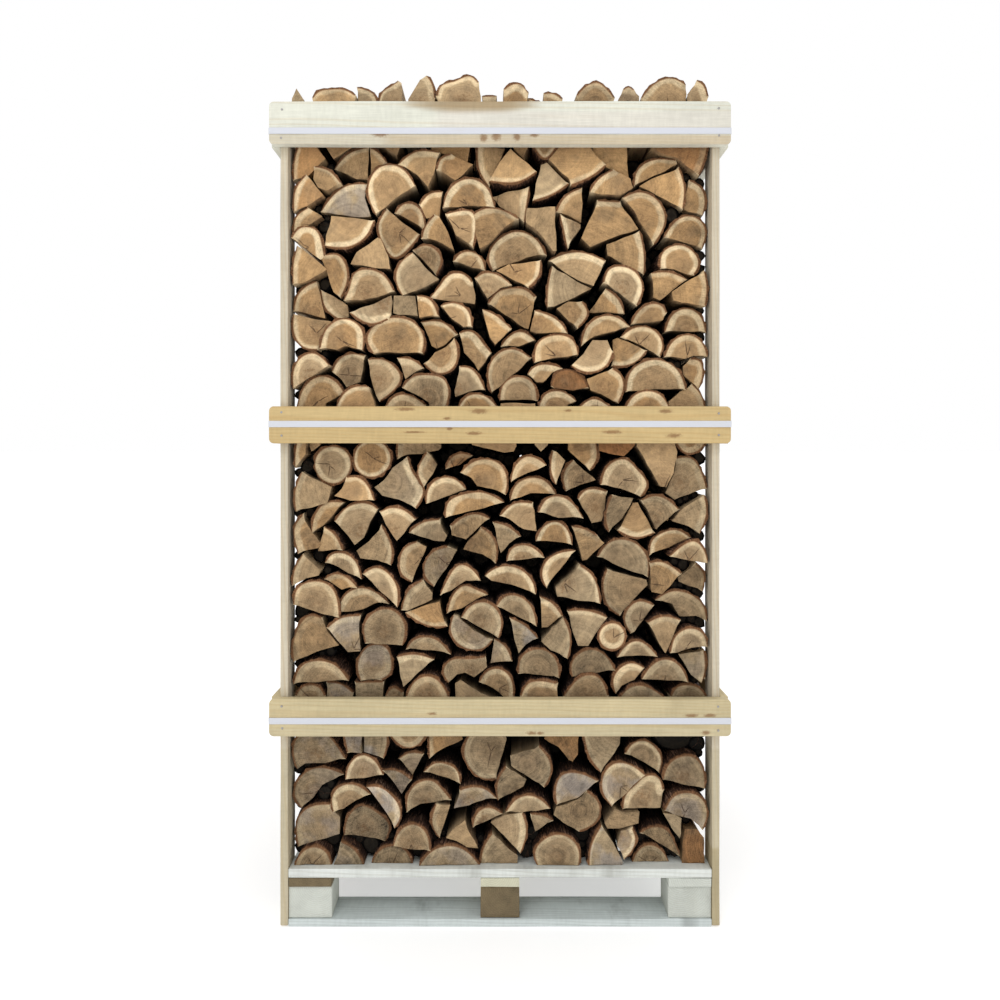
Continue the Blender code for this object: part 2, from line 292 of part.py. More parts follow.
    (6, -33.9,34.6, -31.3,34.6, -27.8,32.2, -25.6,28.5, -25.9,25.5, -27,23.8, -28.8,27.2, -31.6,31.4),
    (3, -29.8,38.6, -26.4,38.6, -22.9,36.4, -25.2,32.6),
    (3, -25.9,41.4, -23.5,42.8, -19.8,42.6, -22.5,37.1),
    (5, -18.9,48.5, -20.5,45.8, -23.2,44.6, -26.3,45.9, -28.4,48.5, -28,50, -19.3,50),
    (2, -18.1,41.7, -18.5,50, -10.5,50, -9.6,46.3, -14,44.2),
    (5, -19.3,38, -17,40, -13.7,40, -11,38.2, -10.3,35.2, -14.5,36.6),
    (6, -24,27.7, -23.6,32, -21,35.1, -17.3,35.5, -14.6,33, -12.8,30.8, -16.5,30.1, -20.3,29.7),
    (6, -40,21.7, -39.2,26, -35.7,29.1, -31.8,27.4, -28.6,23.8, -29.6,19.9, -34.5,21),
    (3, -40.5,20.6, -37.4,18.8, -35,14.7, -42.5,14.7),
    (5, -32.8,14.7, -31.3,17.5, -27.8,19.2, -24.5,18.3, -22.6,14.7),
    (5, -27.2,19.7, -25.7,23.3, -21.9,25.2, -18.9,23.3, -17.9,19, -23,19),
    (5, -20.5,14.7, -17.8,18.1, -12.8,19.8, -8.6,18.3, -5.4,14.7),
    (6, -1.2,36.3, -4.5,36.3, -7.6,38.7, -9.3,42.7, -8,47, -5.5,49.5, 0.5,49.8, 1.7,46.3, 0.1,41),
    (4, -0.5,31.3, -0.8,34.2, 0.3,38, 1.5,39.6, 6.8,36.5, 6,34.7),
    (4, 10,44.8, 12.8,41, 12.9,38, 11.3,35, 7.5,37.2, 2.9,40.1, 2.6,42.7),
    (0, 12,50.3, 20.4,50.3, 19.9,42.7, 18.6,40.9, 17.6,41.3, 15,44.6, 11.4,46.6),
    (4, -10.1,33.6, -7,34.5, -4,34, -1.1,31.7, -3.5,31.4, -8,29.7, -11.8,28.9),
    (5, 1.7,28.5, 4.3,31.6, 7.7,32.5, 10.8,31.1, 12.8,29.2, 9,28.5),
    (4, -15.6,21.1, -17.1,23.5, -17.4,26.5, -16.4,29.6, -12.8,29.6, -14.4,24.5),
    (4, -6.9,24.4, -5.7,28, -3.2,29.3, 0.4,27.8, -3.2,26),
    (0, -13.8,21.5, -12.2,23.5, -8.9,26.1, -8.4,24, -5.6,18.8, -8.5,19.1, -11.3,20.8),
    (3, 5.7,27.8, 6.7,24.5, 5.2,18.1, 1,22.4, -2.4,25.7, 1.2,27.4),
    (3, 8,27.7, 10.8,27.4, 13.3,26.1, 9,23.4),
    (4, -4.9,14.7, -4.4,18, -3.3,20.5, -2,22.3, 4.6,16.7, 4.4,14.7),
    (7, 9.6,14.7, 8.9,18, 11,21.2, 15,22.7, 18.6,21.2, 20.3,17.5, 20,14.7),
    (5, 14.5,30.3, 14.2,34, 15.7,37.7, 19.5,38.4, 24.7,36.4, 21.3,33.1, 19.8,31.9),
    (5, 22.3,33.2, 24.9,31, 25.6,28.5, 24.7,25.8, 20.3,23.3, 17.3,24.7, 13.7,27.4, 14.4,29.5, 19.8,31.3),
    (3, 25.6,38.8, 23.1,42, 21.5,47.5, 21.8,50.3, 31,50.3, 30.6,45.5, 28.5,42.3),
    (6, 32.4,42.7, 34,45, 37,45.9, 40,44.1, 41.6,40.8, 41,37.9, 37,40.4),
    (6, 28.4,30, 26.3,33.3, 26.4,37.8, 29.2,40.8, 33,40.6, 36.8,38, 32.2,33.2),
    (6, 42.8,36.5, 43.9,40, 47,42.4, 50.3,42.4, 52.7,39.8, 53.5,34.2, 48.5,35),
    (6, 31.6,28.8, 32.3,32.3, 34.9,34.9, 37.5,37, 40.5,36.7, 41.8,33.5, 41.2,28.8),
    (6, 42.3,29.2, 44.3,32.3, 48,33.4, 51.7,31.9, 53.2,28, 52,24.2, 49,26.8, 46.6,27.4),
    (0, 41.6,28.1, 44.6,27.9, 46.3,26.8, 46.2,22.8, 45.9,21.5, 43.7,24.4),
    (0, 29.4,29.1, 31.2,28.2, 35.7,28.2, 35.4,25.1, 30.5,24, 27.4,24.1, 26.7,25.5),
    (3, 22.8,14.7, 23.2,19.5, 25.8,24.7, 29,20.3, 31.4,15.5, 31.2,14.7),
    (4, 33.8,23.9, 34.6,21.5, 33.8,18.6, 31.8,16.4, 29.8,19.8, 30.9,23.4),
    (5, 36.2,22.7, 39.3,24.1, 42.6,23.4, 44.7,20, 46,16.9, 41,19.8),
    (5, 34.2,14.7, 35.6,17.6, 38.7,19, 41.7,17.5, 43.4,14.7),
    (0, 46.6,14.7, 46.9,20.5, 47.4,23.6, 50.5,23.7, 52.2,21.5, 52.5,14.7),
)

# Loose logs on top of the front row, in the same form
TOP_LOGS = (
    (0, -53.2,205, -53.3,210.8, -52.2,213.4, -50.4,210.6, -49.8,205),
    (5, -47.8,210.8, -46.5,212.3, -43.5,213, -39.5,212.8, -37.2,211.4, -37,205, -47.5,205),
    (4, -36.6,214, -34.5,213.4, -32.5,212.2, -31.6,209, -31.7,205, -36.6,205),
    (4, -31.1,210.5, -30,213.2, -28.3,214.3, -26.3,215.7, -25.4,215.3, -24.6,205, -30.9,205),
    (3, -18.9,217, -17.6,215, -16.9,211.2, -16.8,205, -23.9,205, -23.6,211, -20.6,215.9),
    (5, -15.9,211, -15,213.6, -11.5,214.9, -7.6,216.2, -5.6,214.6, -4.9,211, -5.1,205, -15.6,205),
    (2, -4.4,211.1, -1,211.2, -1.2,205, -4.6,205),
    (4, 1.2,212.5, 3.3,213.8, 5.3,213.7, 7,211.8, 6.9,205, 0.8,205),
    (2, 7.5,211.2, 10.6,210, 10.5,205, 7.4,205),
    (3, 11.4,212.3, 13.5,212.3, 15.8,210.9, 15.9,205, 11.1,205),
    (5, 19.7,211, 21.8,213.3, 24.8,214.4, 27,213, 29,210.6, 28.5,205, 20,205),
    (3, 31.8,213.2, 32.9,213.9, 34.2,213.1, 35.7,211.5, 35.7,205, 29.8,205, 30.3,210.5),
    (5, 36.4,211, 38.5,213.6, 41,215.4, 43.6,216.1, 47.6,214.5, 47.9,212, 47.2,205, 36.3,205),
    (3, 50.9,214.9, 51.9,214.3, 53.3,211, 53.3,205, 48.4,205, 48.3,211.5),
)

PALE_PINE = (0.62, 0.52, 0.36)
GREY_PINE = (0.50, 0.47, 0.38)
HONEY_PINE = (0.60, 0.44, 0.22)
CREAM_PINE = (0.68, 0.62, 0.48)
OAK = (0.38, 0.26, 0.15)
STRAP_WHITE = (0.80, 0.80, 0.88)


def material(name, colour, roughness):
    """Return a Principled material of one plain colour."""
    made = bpy.data.materials.new(name)
    made.use_nodes = True
    shader = made.node_tree.nodes["Principled BSDF"]
    shader.inputs["Base Color"].default_value = (*colour, 1.0)
    shader.inputs["Roughness"].default_value = roughness
    return made


def place(name, mesh, collection, colour, roughness=0.7):
    """Link a mesh as one named piece with its own material."""
    piece = bpy.data.objects.new(name, mesh)
    mesh.materials.clear()
    mesh.materials.append(material(name, colour, roughness))
    collection.objects.link(piece)
    return piece


def box(name, low, high, collection, colour):
    """Add one straight board or block between two corners."""
    shape = bmesh.new()
    bmesh.ops.create_cube(shape, size=1.0)
    size = [b - a for a, b in zip(low, high)]
    bmesh.ops.scale(shape, vec=size, verts=shape.verts)
    mesh = bpy.data.meshes.new(name)
    shape.to_mesh(mesh)
    shape.free()
    piece = place(name, mesh, collection, colour)
    piece.location = [(a + b) / 2 for a, b in zip(low, high)]
    return piece


def outline_mesh(name, outlines, low, high, upright=True):
    """Return a mesh of flat outlines, filled between two levels along Y, or along Z if not upright."""
    curve = bpy.data.curves.new(name, "CURVE")
    curve.dimensions = "2D"
    curve.fill_mode = "BOTH"
    curve.extrude = (high - low) / 2
    for points in outlines:
        spline = curve.splines.new("POLY")
        spline.points.add(len(points) - 1)
        for point, (u, v) in zip(spline.points, points):
            point.co = (u, v, 0.0, 1.0)
        spline.use_cyclic_u = True
    guide = bpy.data.objects.new(name, curve)
    middle = (low + high) / 2
    guide.location = (0.0, middle, 0.0) if upright else (0.0, 0.0, middle)
    guide.rotation_euler.x = math.pi / 2 if upright else 0.0
    bpy.context.scene.collection.objects.link(guide)
    bpy.context.view_layer.update()
    seen = guide.evaluated_get(bpy.context.evaluated_depsgraph_get())
    mesh = bpy.data.meshes.new_from_object(seen)
    shape = bmesh.new()
    shape.from_mesh(mesh)
    bmesh.ops.remove_doubles(shape, verts=shape.verts, dist=0.00001)
    bmesh.ops.transform(shape, matrix=guide.matrix_world, verts=shape.verts)
    bmesh.ops.recalc_face_normals(shape, faces=shape.faces)
    shape.to_mesh(mesh)
    shape.free()
    bpy.data.objects.remove(guide)
    bpy.data.curves.remove(curve)
    return mesh


def joined(name, meshes):
    """Return one mesh that holds all the given ones, which are removed."""
    shape = bmesh.new()
    for mesh in meshes:
        shape.from_mesh(mesh)
        bpy.data.meshes.remove(mesh)
    whole = bpy.data.meshes.new(name)
    shape.to_mesh(whole)
    shape.free()
    return whole


def rounded(left, right, low, high, radius):
    """Return a rectangle's outline with its corners cut round, in two steps each."""
    corners = ((left, low, 180), (right, low, 270), (right, high, 0), (left, high, 90))
    points = []
    for x, z, start in corners:
        centre_x = x + radius if x == left else x - radius
        centre_z = z + radius if z == low else z - radius
        for turn in (0, 45, 90):
            angle = math.radians(start + turn)
            points.append((centre_x + radius * math.cos(angle), centre_z + radius * math.sin(angle)))
    return points


def build_pallet(parts):
    """Three bottom boards, nine blocks, three stringers and seven deck boards."""
    edge = PALLET_HALF
    bottom_rows = {"front": -edge + BLOCK_WIDE / 2, "middle": 0.0, "rear": edge - BLOCK_WIDE / 2}
    for row, y in bottom_rows.items():
        low = (-edge, y - BLOCK_WIDE / 2, 0.0)
        high = (edge, y + BLOCK_WIDE / 2, BOARD_BOTTOM)
        box(f"pallet_bottom_board_{row}", low, high, parts, GREY_PINE)
    block_top = BOARD_BOTTOM + GAP + BLOCK_HEIGHT
    stringer_top = block_top + GAP + BOARD_DECK
    deck_top = stringer_top + GAP + BOARD_DECK
    columns = {"left": (-edge, -edge + BLOCK_WIDE), "right": (edge - BLOCK_WIDE, edge)}
    columns["middle"] = (-BLOCK_MIDDLE / 2, BLOCK_MIDDLE / 2)
    for column, (left, right) in columns.items():
        for row, y in bottom_rows.items():
            block_low = (left, y - BLOCK_DEEP / 2, BOARD_BOTTOM + GAP)
            block_high = (right, y + BLOCK_DEEP / 2, block_top)
            box(f"pallet_block_{row}_{column}", block_low, block_high, parts, GREY_PINE)
        low = (left, -edge, block_top + GAP)
        box(f"pallet_stringer_{column}", low, (right, edge, stringer_top), parts, GREY_PINE)
    for number in range(DECK_BOARDS):
        y = (number - (DECK_BOARDS - 1) / 2) * (2 * edge - DECK_BOARD_WIDE) / (DECK_BOARDS - 1)
        low = (-edge, y - DECK_BOARD_WIDE / 2, stringer_top + GAP)
        high = (edge, y + DECK_BOARD_WIDE / 2, deck_top)
        box(f"pallet_deck_board_{number + 1}", low, high, parts, PALE_PINE)
    return deck_top


def build_posts(parts):
    """Three posts up each side, on edge to the front."""
    edge = PALLET_HALF
    places = {"front": -edge, "middle": -POST_WIDE / 2, "rear": edge - POST_WIDE}
    for place_name, y in places.items():
        for side, sign in (("left", -1), ("right", 1)):
            faces = sorted((sign * (edge + GAP), sign * (edge + GAP + POST_THICK)))
            low = (faces[0], y, POST_BOTTOM)
            high = (faces[1], y + POST_WIDE, POST_TOP)
            box(f"post_{place_name}_{side}", low, high, parts, CREAM_PINE)


def build_rails(parts):
    """Rings of four rails: the front and rear ones run past the ends of the side ones."""
    back_face = PALLET_HALF + GAP
    side_face = PALLET_HALF + 2 * GAP + POST_THICK
    reach = side_face + SIDE_RAIL_THICK
    colours = {"top": CREAM_PINE, "middle": HONEY_PINE, "lower": PALE_PINE}
    for level, (low, high) in RAIL_LEVELS.items():
        outline = rounded(-reach, reach, low, high, RAIL_CORNER)
        for place_name, sign in (("front", -1), ("rear", 1)):
            faces = sorted((sign * back_face, sign * (back_face + RAIL_THICK)))
            name = f"rail_{level}_{place_name}"
            place(name, outline_mesh(name, [outline], *faces), parts, colours[level])
        for side, sign in (("left", -1), ("right", 1)):
            faces = sorted((sign * side_face, sign * reach))
            side_low = (faces[0], -PALLET_HALF, low)
            side_high = (faces[1], PALLET_HALF, high)
            box(f"rail_{level}_{side}", side_low, side_high, parts, colours[level])
    return reach, back_face + RAIL_THICK


def build_straps(parts, reach_x, reach_y):
    """One flat strap drawn tight around each ring of rails."""
    for level, middle in STRAP_MIDDLE.items():
        inner_x = reach_x + GAP
        inner_y = reach_y + GAP
        inner = ((-inner_x, -inner_y), (inner_x, -inner_y), (inner_x, inner_y), (-inner_x, inner_y))
        outer_x = inner_x + STRAP_THICK
        outer_y = inner_y + STRAP_THICK
        outer = rounded(-outer_x, outer_x, -outer_y, outer_y, STRAP_THICK)
        name = f"strap_{level}"
        low = middle - STRAP_WIDE / 2
        mesh = outline_mesh(name, [outer, inner], low, low + STRAP_WIDE, upright=False)
        place(name, mesh, parts, STRAP_WHITE, 0.45)


def log_points(log):
    """Return a table entry's outline points in metres."""
    if len(log) == 3:
        x, z, radius = (value * CENTIMETRE for value in log)
        turns = [2 * math.pi * step / ROUND_SIDES for step in range(ROUND_SIDES)]
        return [(x + radius * math.cos(turn), z + radius * math.sin(turn)) for turn in turns]
    values = [value * CENTIMETRE for value in log[1:]]
    return list(zip(values[0::2], values[1::2]))


def centre(points):
    """Return the middle of an outline's points."""
    count = len(points)
    return sum(x for x, _ in points) / count, sum(z for _, z in points) / count


def area(points):
    """Return the area inside an outline."""
    after = points[1:] + points[:1]
    return abs(sum(x * v - u * z for (x, z), (u, v) in zip(points, after))) / 2


def face_depth(x, z):
    """Return how far forward an end stands: near FACE_Y, a little different for each log."""
    return FACE_Y + FACE_SPREAD * math.sin(DEPTH_WAVE_X * x + DEPTH_WAVE_Z * z)


def is_hidden(log):
    """Say whether an end lies wholly behind one of the front rails."""
    heights = log[2::2]
    return len(log) > 3 and any(low <= min(heights) and max(heights) <= high for low, high in HIDDEN)


def shrunk(points, margin):
    """Return an outline drawn in towards its middle by a margin, so that neighbours stay apart."""
    mid_x, mid_z = centre(points)
    drawn = []
    for x, z in points:
        reach = math.hypot(x - mid_x, z - mid_z)
        scale = 1 - margin / reach
        drawn.append((mid_x + (x - mid_x) * scale, mid_z + (z - mid_z) * scale))
    return drawn


def coarse(points):
    """Return an outline of at most a few corners: every second one where there are many."""
    every = 2 if len(points) > BIG_END_CORNERS + 1 else 1
    return points[::every][:BIG_END_CORNERS]


def packed_row(name, outline, front, back, ends, parts, guides):
    """Add one row: a solid packing of logs with its separate ends standing out of it."""
    row = place(name, outline_mesh(name, [outline], front, back), parts, OAK)
    if not ends:
        return
    guide = bpy.data.objects.new(f"{name}_ends", joined(f"{name}_ends", ends))
    guide.hide_render = True
    guide.display_type = "WIRE"
    guides.objects.link(guide)
    union = row.modifiers.new("Ends", "BOOLEAN")
    union.operation = "UNION"
    union.solver = "EXACT"
    union.use_self = True
    union.object = guide


def build_firewood(parts, guides, deck_top):
    """Three rows of logs. The front row shows each end, the rear row its big ends."""
    low = deck_top + GAP
    ends = []
    big_ends = []
    rear_face = FACE_Y + 2 * ROW_STEP + LOG_LENGTH
    rear_back = rear_face - (PACKING_Y - FACE_Y)
    for log in STACK:
        points = shrunk(log_points(log), END_SHRINK)
        x, z = centre(points)
        if not is_hidden(log):
            ends.append(outline_mesh("end", [points], face_depth(x, z), PACKING_Y + OVERLAP))
        if area(points) > BIG_END:
            corners = [(-u, v) for u, v in coarse(points)]
            rear = rear_face - (face_depth(x, z) - FACE_Y)
            big_ends.append(outline_mesh("end", [corners], rear_back - OVERLAP, rear))
    front = ((-ROW_SIDE, low), (ROW_SIDE, low), (ROW_SIDE, ROW_TOP), (-ROW_SIDE, ROW_TOP))
    back = FACE_Y + LOG_LENGTH
    packed_row("firewood_row_front", front, PACKING_Y, back, ends, parts, guides)
    peaks = []
    for step in range(PEAK_STEPS + 1):
        x = ROW_SIDE - 2 * ROW_SIDE * step / PEAK_STEPS
        peaks.append((x, PEAK_Z + PEAK_RISE * math.sin(PEAK_TURN * step)))
    piled = [(-ROW_SIDE, low), (ROW_SIDE, low), *peaks]
    middle_front = FACE_Y + ROW_STEP - FACE_SPREAD / 2
    middle_back = middle_front + LOG_LENGTH
    packed_row("firewood_row_middle", piled, middle_front, middle_back, [], parts, guides)
    rear_front = FACE_Y + 2 * ROW_STEP
    packed_row("firewood_row_rear", piled, rear_front, rear_back, big_ends, parts, guides)
    for number, log in enumerate(TOP_LOGS):
        points = log_points(log)
        name = f"top_log_{number + 1:02d}"
        x, z = centre(points)
        depth = face_depth(x, z)
        mesh = outline_mesh(name, [points], depth, depth + LOG_LENGTH - FACE_SPREAD)
        place(name, mesh, parts, OAK)


def build():
    """Clear the scene and build every piece."""
    for old in list(bpy.data.objects):
        bpy.data.objects.remove(old)
    parts = bpy.data.collections.new("oak_firewood_crate")
    guides = bpy.data.collections.new("guides")
    bpy.context.scene.collection.children.link(parts)
    bpy.context.scene.collection.children.link(guides)
    deck_top = build_pallet(parts)
    build_posts(parts)
    reach_x, reach_y = build_rails(parts)
    build_straps(parts, reach_x, reach_y)
    build_firewood(parts, guides, deck_top)


build()
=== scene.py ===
"""Looks of a crate of split oak firewood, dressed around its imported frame.

Metres, +Z up, front towards -Y. Every board of the frame is sawn again with grain and eased
edges, and the three solid rows of firewood give way to single split logs. Each log is one closed
surface, worked out from its end as seen from the front. The front row follows the ends listed
below; the rows behind it are the same stack turned about.
"""

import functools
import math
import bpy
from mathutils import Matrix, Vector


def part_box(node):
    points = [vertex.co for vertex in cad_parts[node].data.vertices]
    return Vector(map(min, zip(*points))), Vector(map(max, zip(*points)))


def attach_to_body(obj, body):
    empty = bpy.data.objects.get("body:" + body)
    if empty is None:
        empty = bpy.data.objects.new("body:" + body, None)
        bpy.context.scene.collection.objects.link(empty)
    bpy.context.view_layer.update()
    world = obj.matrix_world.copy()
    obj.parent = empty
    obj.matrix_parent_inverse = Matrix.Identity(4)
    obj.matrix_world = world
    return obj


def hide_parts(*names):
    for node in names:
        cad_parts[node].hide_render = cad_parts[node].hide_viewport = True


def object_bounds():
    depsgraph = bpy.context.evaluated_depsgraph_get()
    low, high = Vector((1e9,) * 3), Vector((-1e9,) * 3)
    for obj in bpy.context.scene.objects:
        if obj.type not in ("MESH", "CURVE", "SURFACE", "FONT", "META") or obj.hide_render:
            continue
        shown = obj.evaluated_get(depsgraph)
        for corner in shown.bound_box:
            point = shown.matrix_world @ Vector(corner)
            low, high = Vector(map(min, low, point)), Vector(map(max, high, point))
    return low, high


bl_info = {
    "name": "Firewood crate",
    "version": (1, 0, 0),
    "blender": (4, 5, 0),
    "location": "View3D > Sidebar > Firewood",
    "description": "Dresses a pallet crate of split oak logs: boards, straps, nails, logs and the stage",
    "category": "Object",
}

import bpy
import numpy as np
from mathutils import Vector

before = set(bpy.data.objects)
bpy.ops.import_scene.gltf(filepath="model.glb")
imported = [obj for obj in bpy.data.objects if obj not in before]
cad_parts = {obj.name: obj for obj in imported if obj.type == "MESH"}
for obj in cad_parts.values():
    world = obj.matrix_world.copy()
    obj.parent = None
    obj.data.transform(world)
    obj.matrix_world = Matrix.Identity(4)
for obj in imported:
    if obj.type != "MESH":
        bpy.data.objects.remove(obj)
CAD_BOUNDS = [list(map(float, corner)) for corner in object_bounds()]

ROOT = "root"
TAU = 2 * math.pi
CENTIMETRE = 0.01
TINY = 1e-9

# How the firewood lies, repeated from the part's source, in metres
LOG_LENGTH = 0.330
ROW_STEP = 0.348
FACE_Y = -0.509
FACE_SPREAD = 0.012
DEPTH_WAVE_X = 91.7
DEPTH_WAVE_Z = 57.3
SIDE_REACH = 0.5352

DECK_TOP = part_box("pallet_deck_board_1")[1][2] + 0.0003
STACK_TOP = 2.05

# How a log is cut, in metres: steps along bark and split sides, the tear of a split side and
# its most as a share of that side, the trunk's least and largest radius, how far off the pith of
# a log without bark lies, the bark's thickness, and the slant of a sawn face
BARK_STEP = 0.0085
SPLIT_STEP = 0.013
TEAR = 0.0026
TEAR_SHARE = 0.03
TRUNK_RADII = (0.035, 0.12)
FAR_PITH = 0.08
BARK_THICK = 0.0046
CUT_TILT = 0.035

# Whole logs: fewest and most sides, how uneven a log and a billet are, and the radius between
# them; how far their pith lies off the middle, and how far past it that of a flat-backed log lies
ROUND_SIDES = (9, 40)
UNEVEN_LOG = 0.012
UNEVEN_BILLET = 0.07
BILLET_MOST = 0.03
PITH_OFF = 0.006
PITH_PAST = 1.2

# Trial points each way for a log's middle
TRIALS = 15

# A log's bend: its usual size in metres, and by shares of the length half its wave and its start
LOG_BEND = 0.0035
BEND_PERIOD = 1.6
BEND_START = 0.02

# Forms on a log's surface, in metres: relief of the saw cut, rounding of its edge, height of the
# bark's ridges and swells, and depth of the fibres on a split side
SAW_RELIEF = 0.0003
EDGE_ROUNDING = 0.0007
BARK_RIDGE = 0.002
BARK_SWELL = 0.0016
FIBRE_DEPTH = 0.0014

# How bark thins towards a split side: weights of a point and its neighbours, and how much more
# than its own share it may get; and how far fibres lie below the outline, where a ripple reaches 1
BARK_WEIGHTS = (0.25, 0.5, 0.25)
BARK_SPILL = 0.2
FIBRE_SINK = 0.8

# How dense those forms are, around a log and along it, in radians a metre
SAW_WAVES = (300.0, 260.0)
RIDGE_WAVES = (230.0, 26.0)
SWELL_WAVES = (60.0, 12.0)
FIBRE_WAVES = (170.0, 9.0)
TEAR_WAVES = (60.0,)

# Painted shade inside the stack: where a log counts as inside it, over what stretch that fades
# at the sides and at the top, and how deep in it the painted shade is full
INNER_SIDE = 0.50
INNER_TOP = 1.99
INNER_FADE = 0.08
DARK_DEPTH = 0.085

# Where the sides and the top show the logs inside the stack
SHOWN_SIDE = 0.515
SHOWN_TOP = 1.98

# A height above everything, the gap left below the crate's height, and the distance from the
# bark that stands for none
TALLEST = 9.0
TOP_GAP = 0.0002
NO_BARK = 0.05

# First seeds: logs and billets of the front, middle and rear rows, then the loose logs on top
FRONT_SEEDS = (1000, 1800)
MIDDLE_SEEDS = (3000, 3500, 3700)
REAR_SEEDS = (5000, 5500, 5800)
TOP_SEED = 7000

# Heights that part the rows into pieces, and how far a hidden row's top logs rise by comparison
FRONT_TIERS = {"lower": (0.0, 0.9), "middle": (0.9, 1.5), "upper": (1.5, TALLEST)}
REAR_TIERS = {"lower": (0.0, 1.2), "upper": (1.2, TALLEST)}
HIDDEN_LIFT = 0.75

# Finishes of a log, in order
SAWN_END, SPLIT_SIDE, BARK = range(3)

# Thin billets in the stack's gaps: grid of trial places, its lowest and highest row, how far to
# the side they lie, the thinnest one, how much thicker they are at the sides and on the deck, how
# high above the deck that goes, how far behind the faces they start, and where that lessens
HOLLOW_STEP = 0.0075
HOLLOW_LOW = 0.012
HOLLOW_TOP = 2.0
BILLET_SIDE = 0.530
LEAST_BILLET = 0.006
EDGE_EXTRA = 0.0025
LOW_GAP = 0.07
BILLET_RECESS = 0.12
SIDE_RECESS = 0.03
BILLET_INNER = 0.44

# How many trial places are measured at a time
PLACES_AT_ONCE = 400

# Painted shade on billets: how dark a billet is, where 1 is as dark as deep in the stack, and
# the share of it at the sides
BILLET_PAINTED_SHADE = 1.2
SIDE_PAINTED_SHADE = 0.3

# How near a log's middle a listed tone must lie, below what height logs start to turn greyer
# and, as painted shade, darker over a metre, and above what height they are loose, in cm
TONE_REACH = 2.8
LOW_BELOW = 150
LOOSE_ABOVE = 206

# Mean and spread of the logs' brightness and warmth, what both lose low down and on loose logs,
# and what the brightness of a listed log loses low down. What the brightness loses low down is
# painted shade, as if less light reached the lower logs; what the warmth loses makes them greyer
BRIGHT_SPREAD = (0.0, 0.42)
WARM_SPREAD = (0.22, 0.24)
LOW_LOSS = (1.15, 0.65)
LOOSE_LOSS = (0.25, 0.4)
LISTED_LOSS = 0.5

# Rows of a log's grid by detail: shares from the face's middle to its rim, shares of the length
# along the side, and shares of the outline on the far end
FACE_SHARES = {
    "fine": (0.22, 0.45, 0.66, 0.82, 0.93, 1.0),
    "plain": (0.4, 0.75, 0.93, 1.0),
    "rough": (0.6, 1.0),
}
SIDE_SHARES = {
    "fine": (0.004, 0.03, 0.1, 0.2, 0.33, 0.48, 0.64, 0.8, 0.92, 0.995),
    "plain": (0.004, 0.05, 0.2, 0.4, 0.6, 0.8, 0.995),
    "rough": (0.01, 0.5, 0.99),
}
BACK_SHARES = (0.97, 0.5)

# Boards: distance between rings on boards and on blocks, and rounding of a rail's corners
BOARD_STEP = 0.03
BLOCK_STEP = 0.02
RAIL_CORNER = 0.012

# A board's section: turns round a corner in degrees, and points along its wide and thin sides with
# their ends; and where its rounded corner's rings start, as a turn, and how many there are
CORNER_TURNS = (0, 30, 60, 90)
WIDE_POINTS = 8
THIN_POINTS = 4
CORNER_START = 0.6
CORNER_RINGS = 7

# How far a board's faces wander inwards, in metres, with how many radians a metre along the board
# and across it, and where the ripple's middle lies
WANDER_ACROSS = 0.0006
WANDER_THROUGH = 0.0004
ACROSS_WAVES = (9.0, 20.0)
THROUGH_WAVES = (11.0, 30.0)
WANDER_SINK = 1.2

# Where a trunk's heart lies: least and most share of the board's width aside, and metres below;
# and how far along its grain a board may be cut, in metres either way
HEART_ASIDE = (-0.4, 0.4)
HEART_BELOW = (0.02, 0.06)
GRAIN_SHIFT = 40

# Straps: thickness, rounding at the crate's corners, steps along a side, points of the section,
# and how square the section is, where 1 is an ellipse
STRAP_THICK = 0.0009
STRAP_CORNER = 0.003
STRAP_STEPS = 60
STRAP_SIDES = 12
STRAP_SQUARE = 0.25

# Nails: where two of them lie up a rail, and the dome of a head as shares of its radius with rises
NAIL_SHARES = (0.18, 0.86)
DOME_SHARES = (0.35, 0.75, 0.97, 1.0, 1.0)
DOME_RISES = (0.0006, 0.0005, 0.0003, 0.0001, -0.002)
DOME_TOP = 0.0007

# Fixed colours: knots and marks of the pine, dust on the tape, zinc and rust of the nails
KNOT = (0.16, 0.085, 0.04)
MARK = (0.22, 0.115, 0.045)
DUST = (0.55, 0.52, 0.48)
ZINC = (0.36, 0.35, 0.34)
RUST = (0.24, 0.16, 0.10)

# Pine's year rings and the tape's diamonds, in metres
YEAR_RING = 0.0052
TAPE_DIAMOND = 0.0032

# Marks and washes lie in front of this y: on the front rails alone, or on every board
MARKED_Y = -0.5595
ALL_Y = 1.0

# Edges sharper than this stay sharp under smooth shading
SHARP_ANGLE = math.radians(40)

# Studio: floor's half width, and lights as (name, place, target, size, power in watts)
FLOOR_REACH = 400.0
LIGHTS = (
    ("key", (-1.2, -4.2, 5.2), (0, -0.4, 1.1), 2.0, 60),
    ("back", (1.5, 4.6, 4.0), (0, 0.4, 1.0), 2.4, 30),
)

# Where the camera stood: the front rails' face fills 2.5 m of the picture at 2.1 m
CAMERA_HEIGHT = 1.207
CAMERA_DISTANCE = 2.1
VIEW_WIDTH = 2.5
HORIZON_SHIFT = -0.05
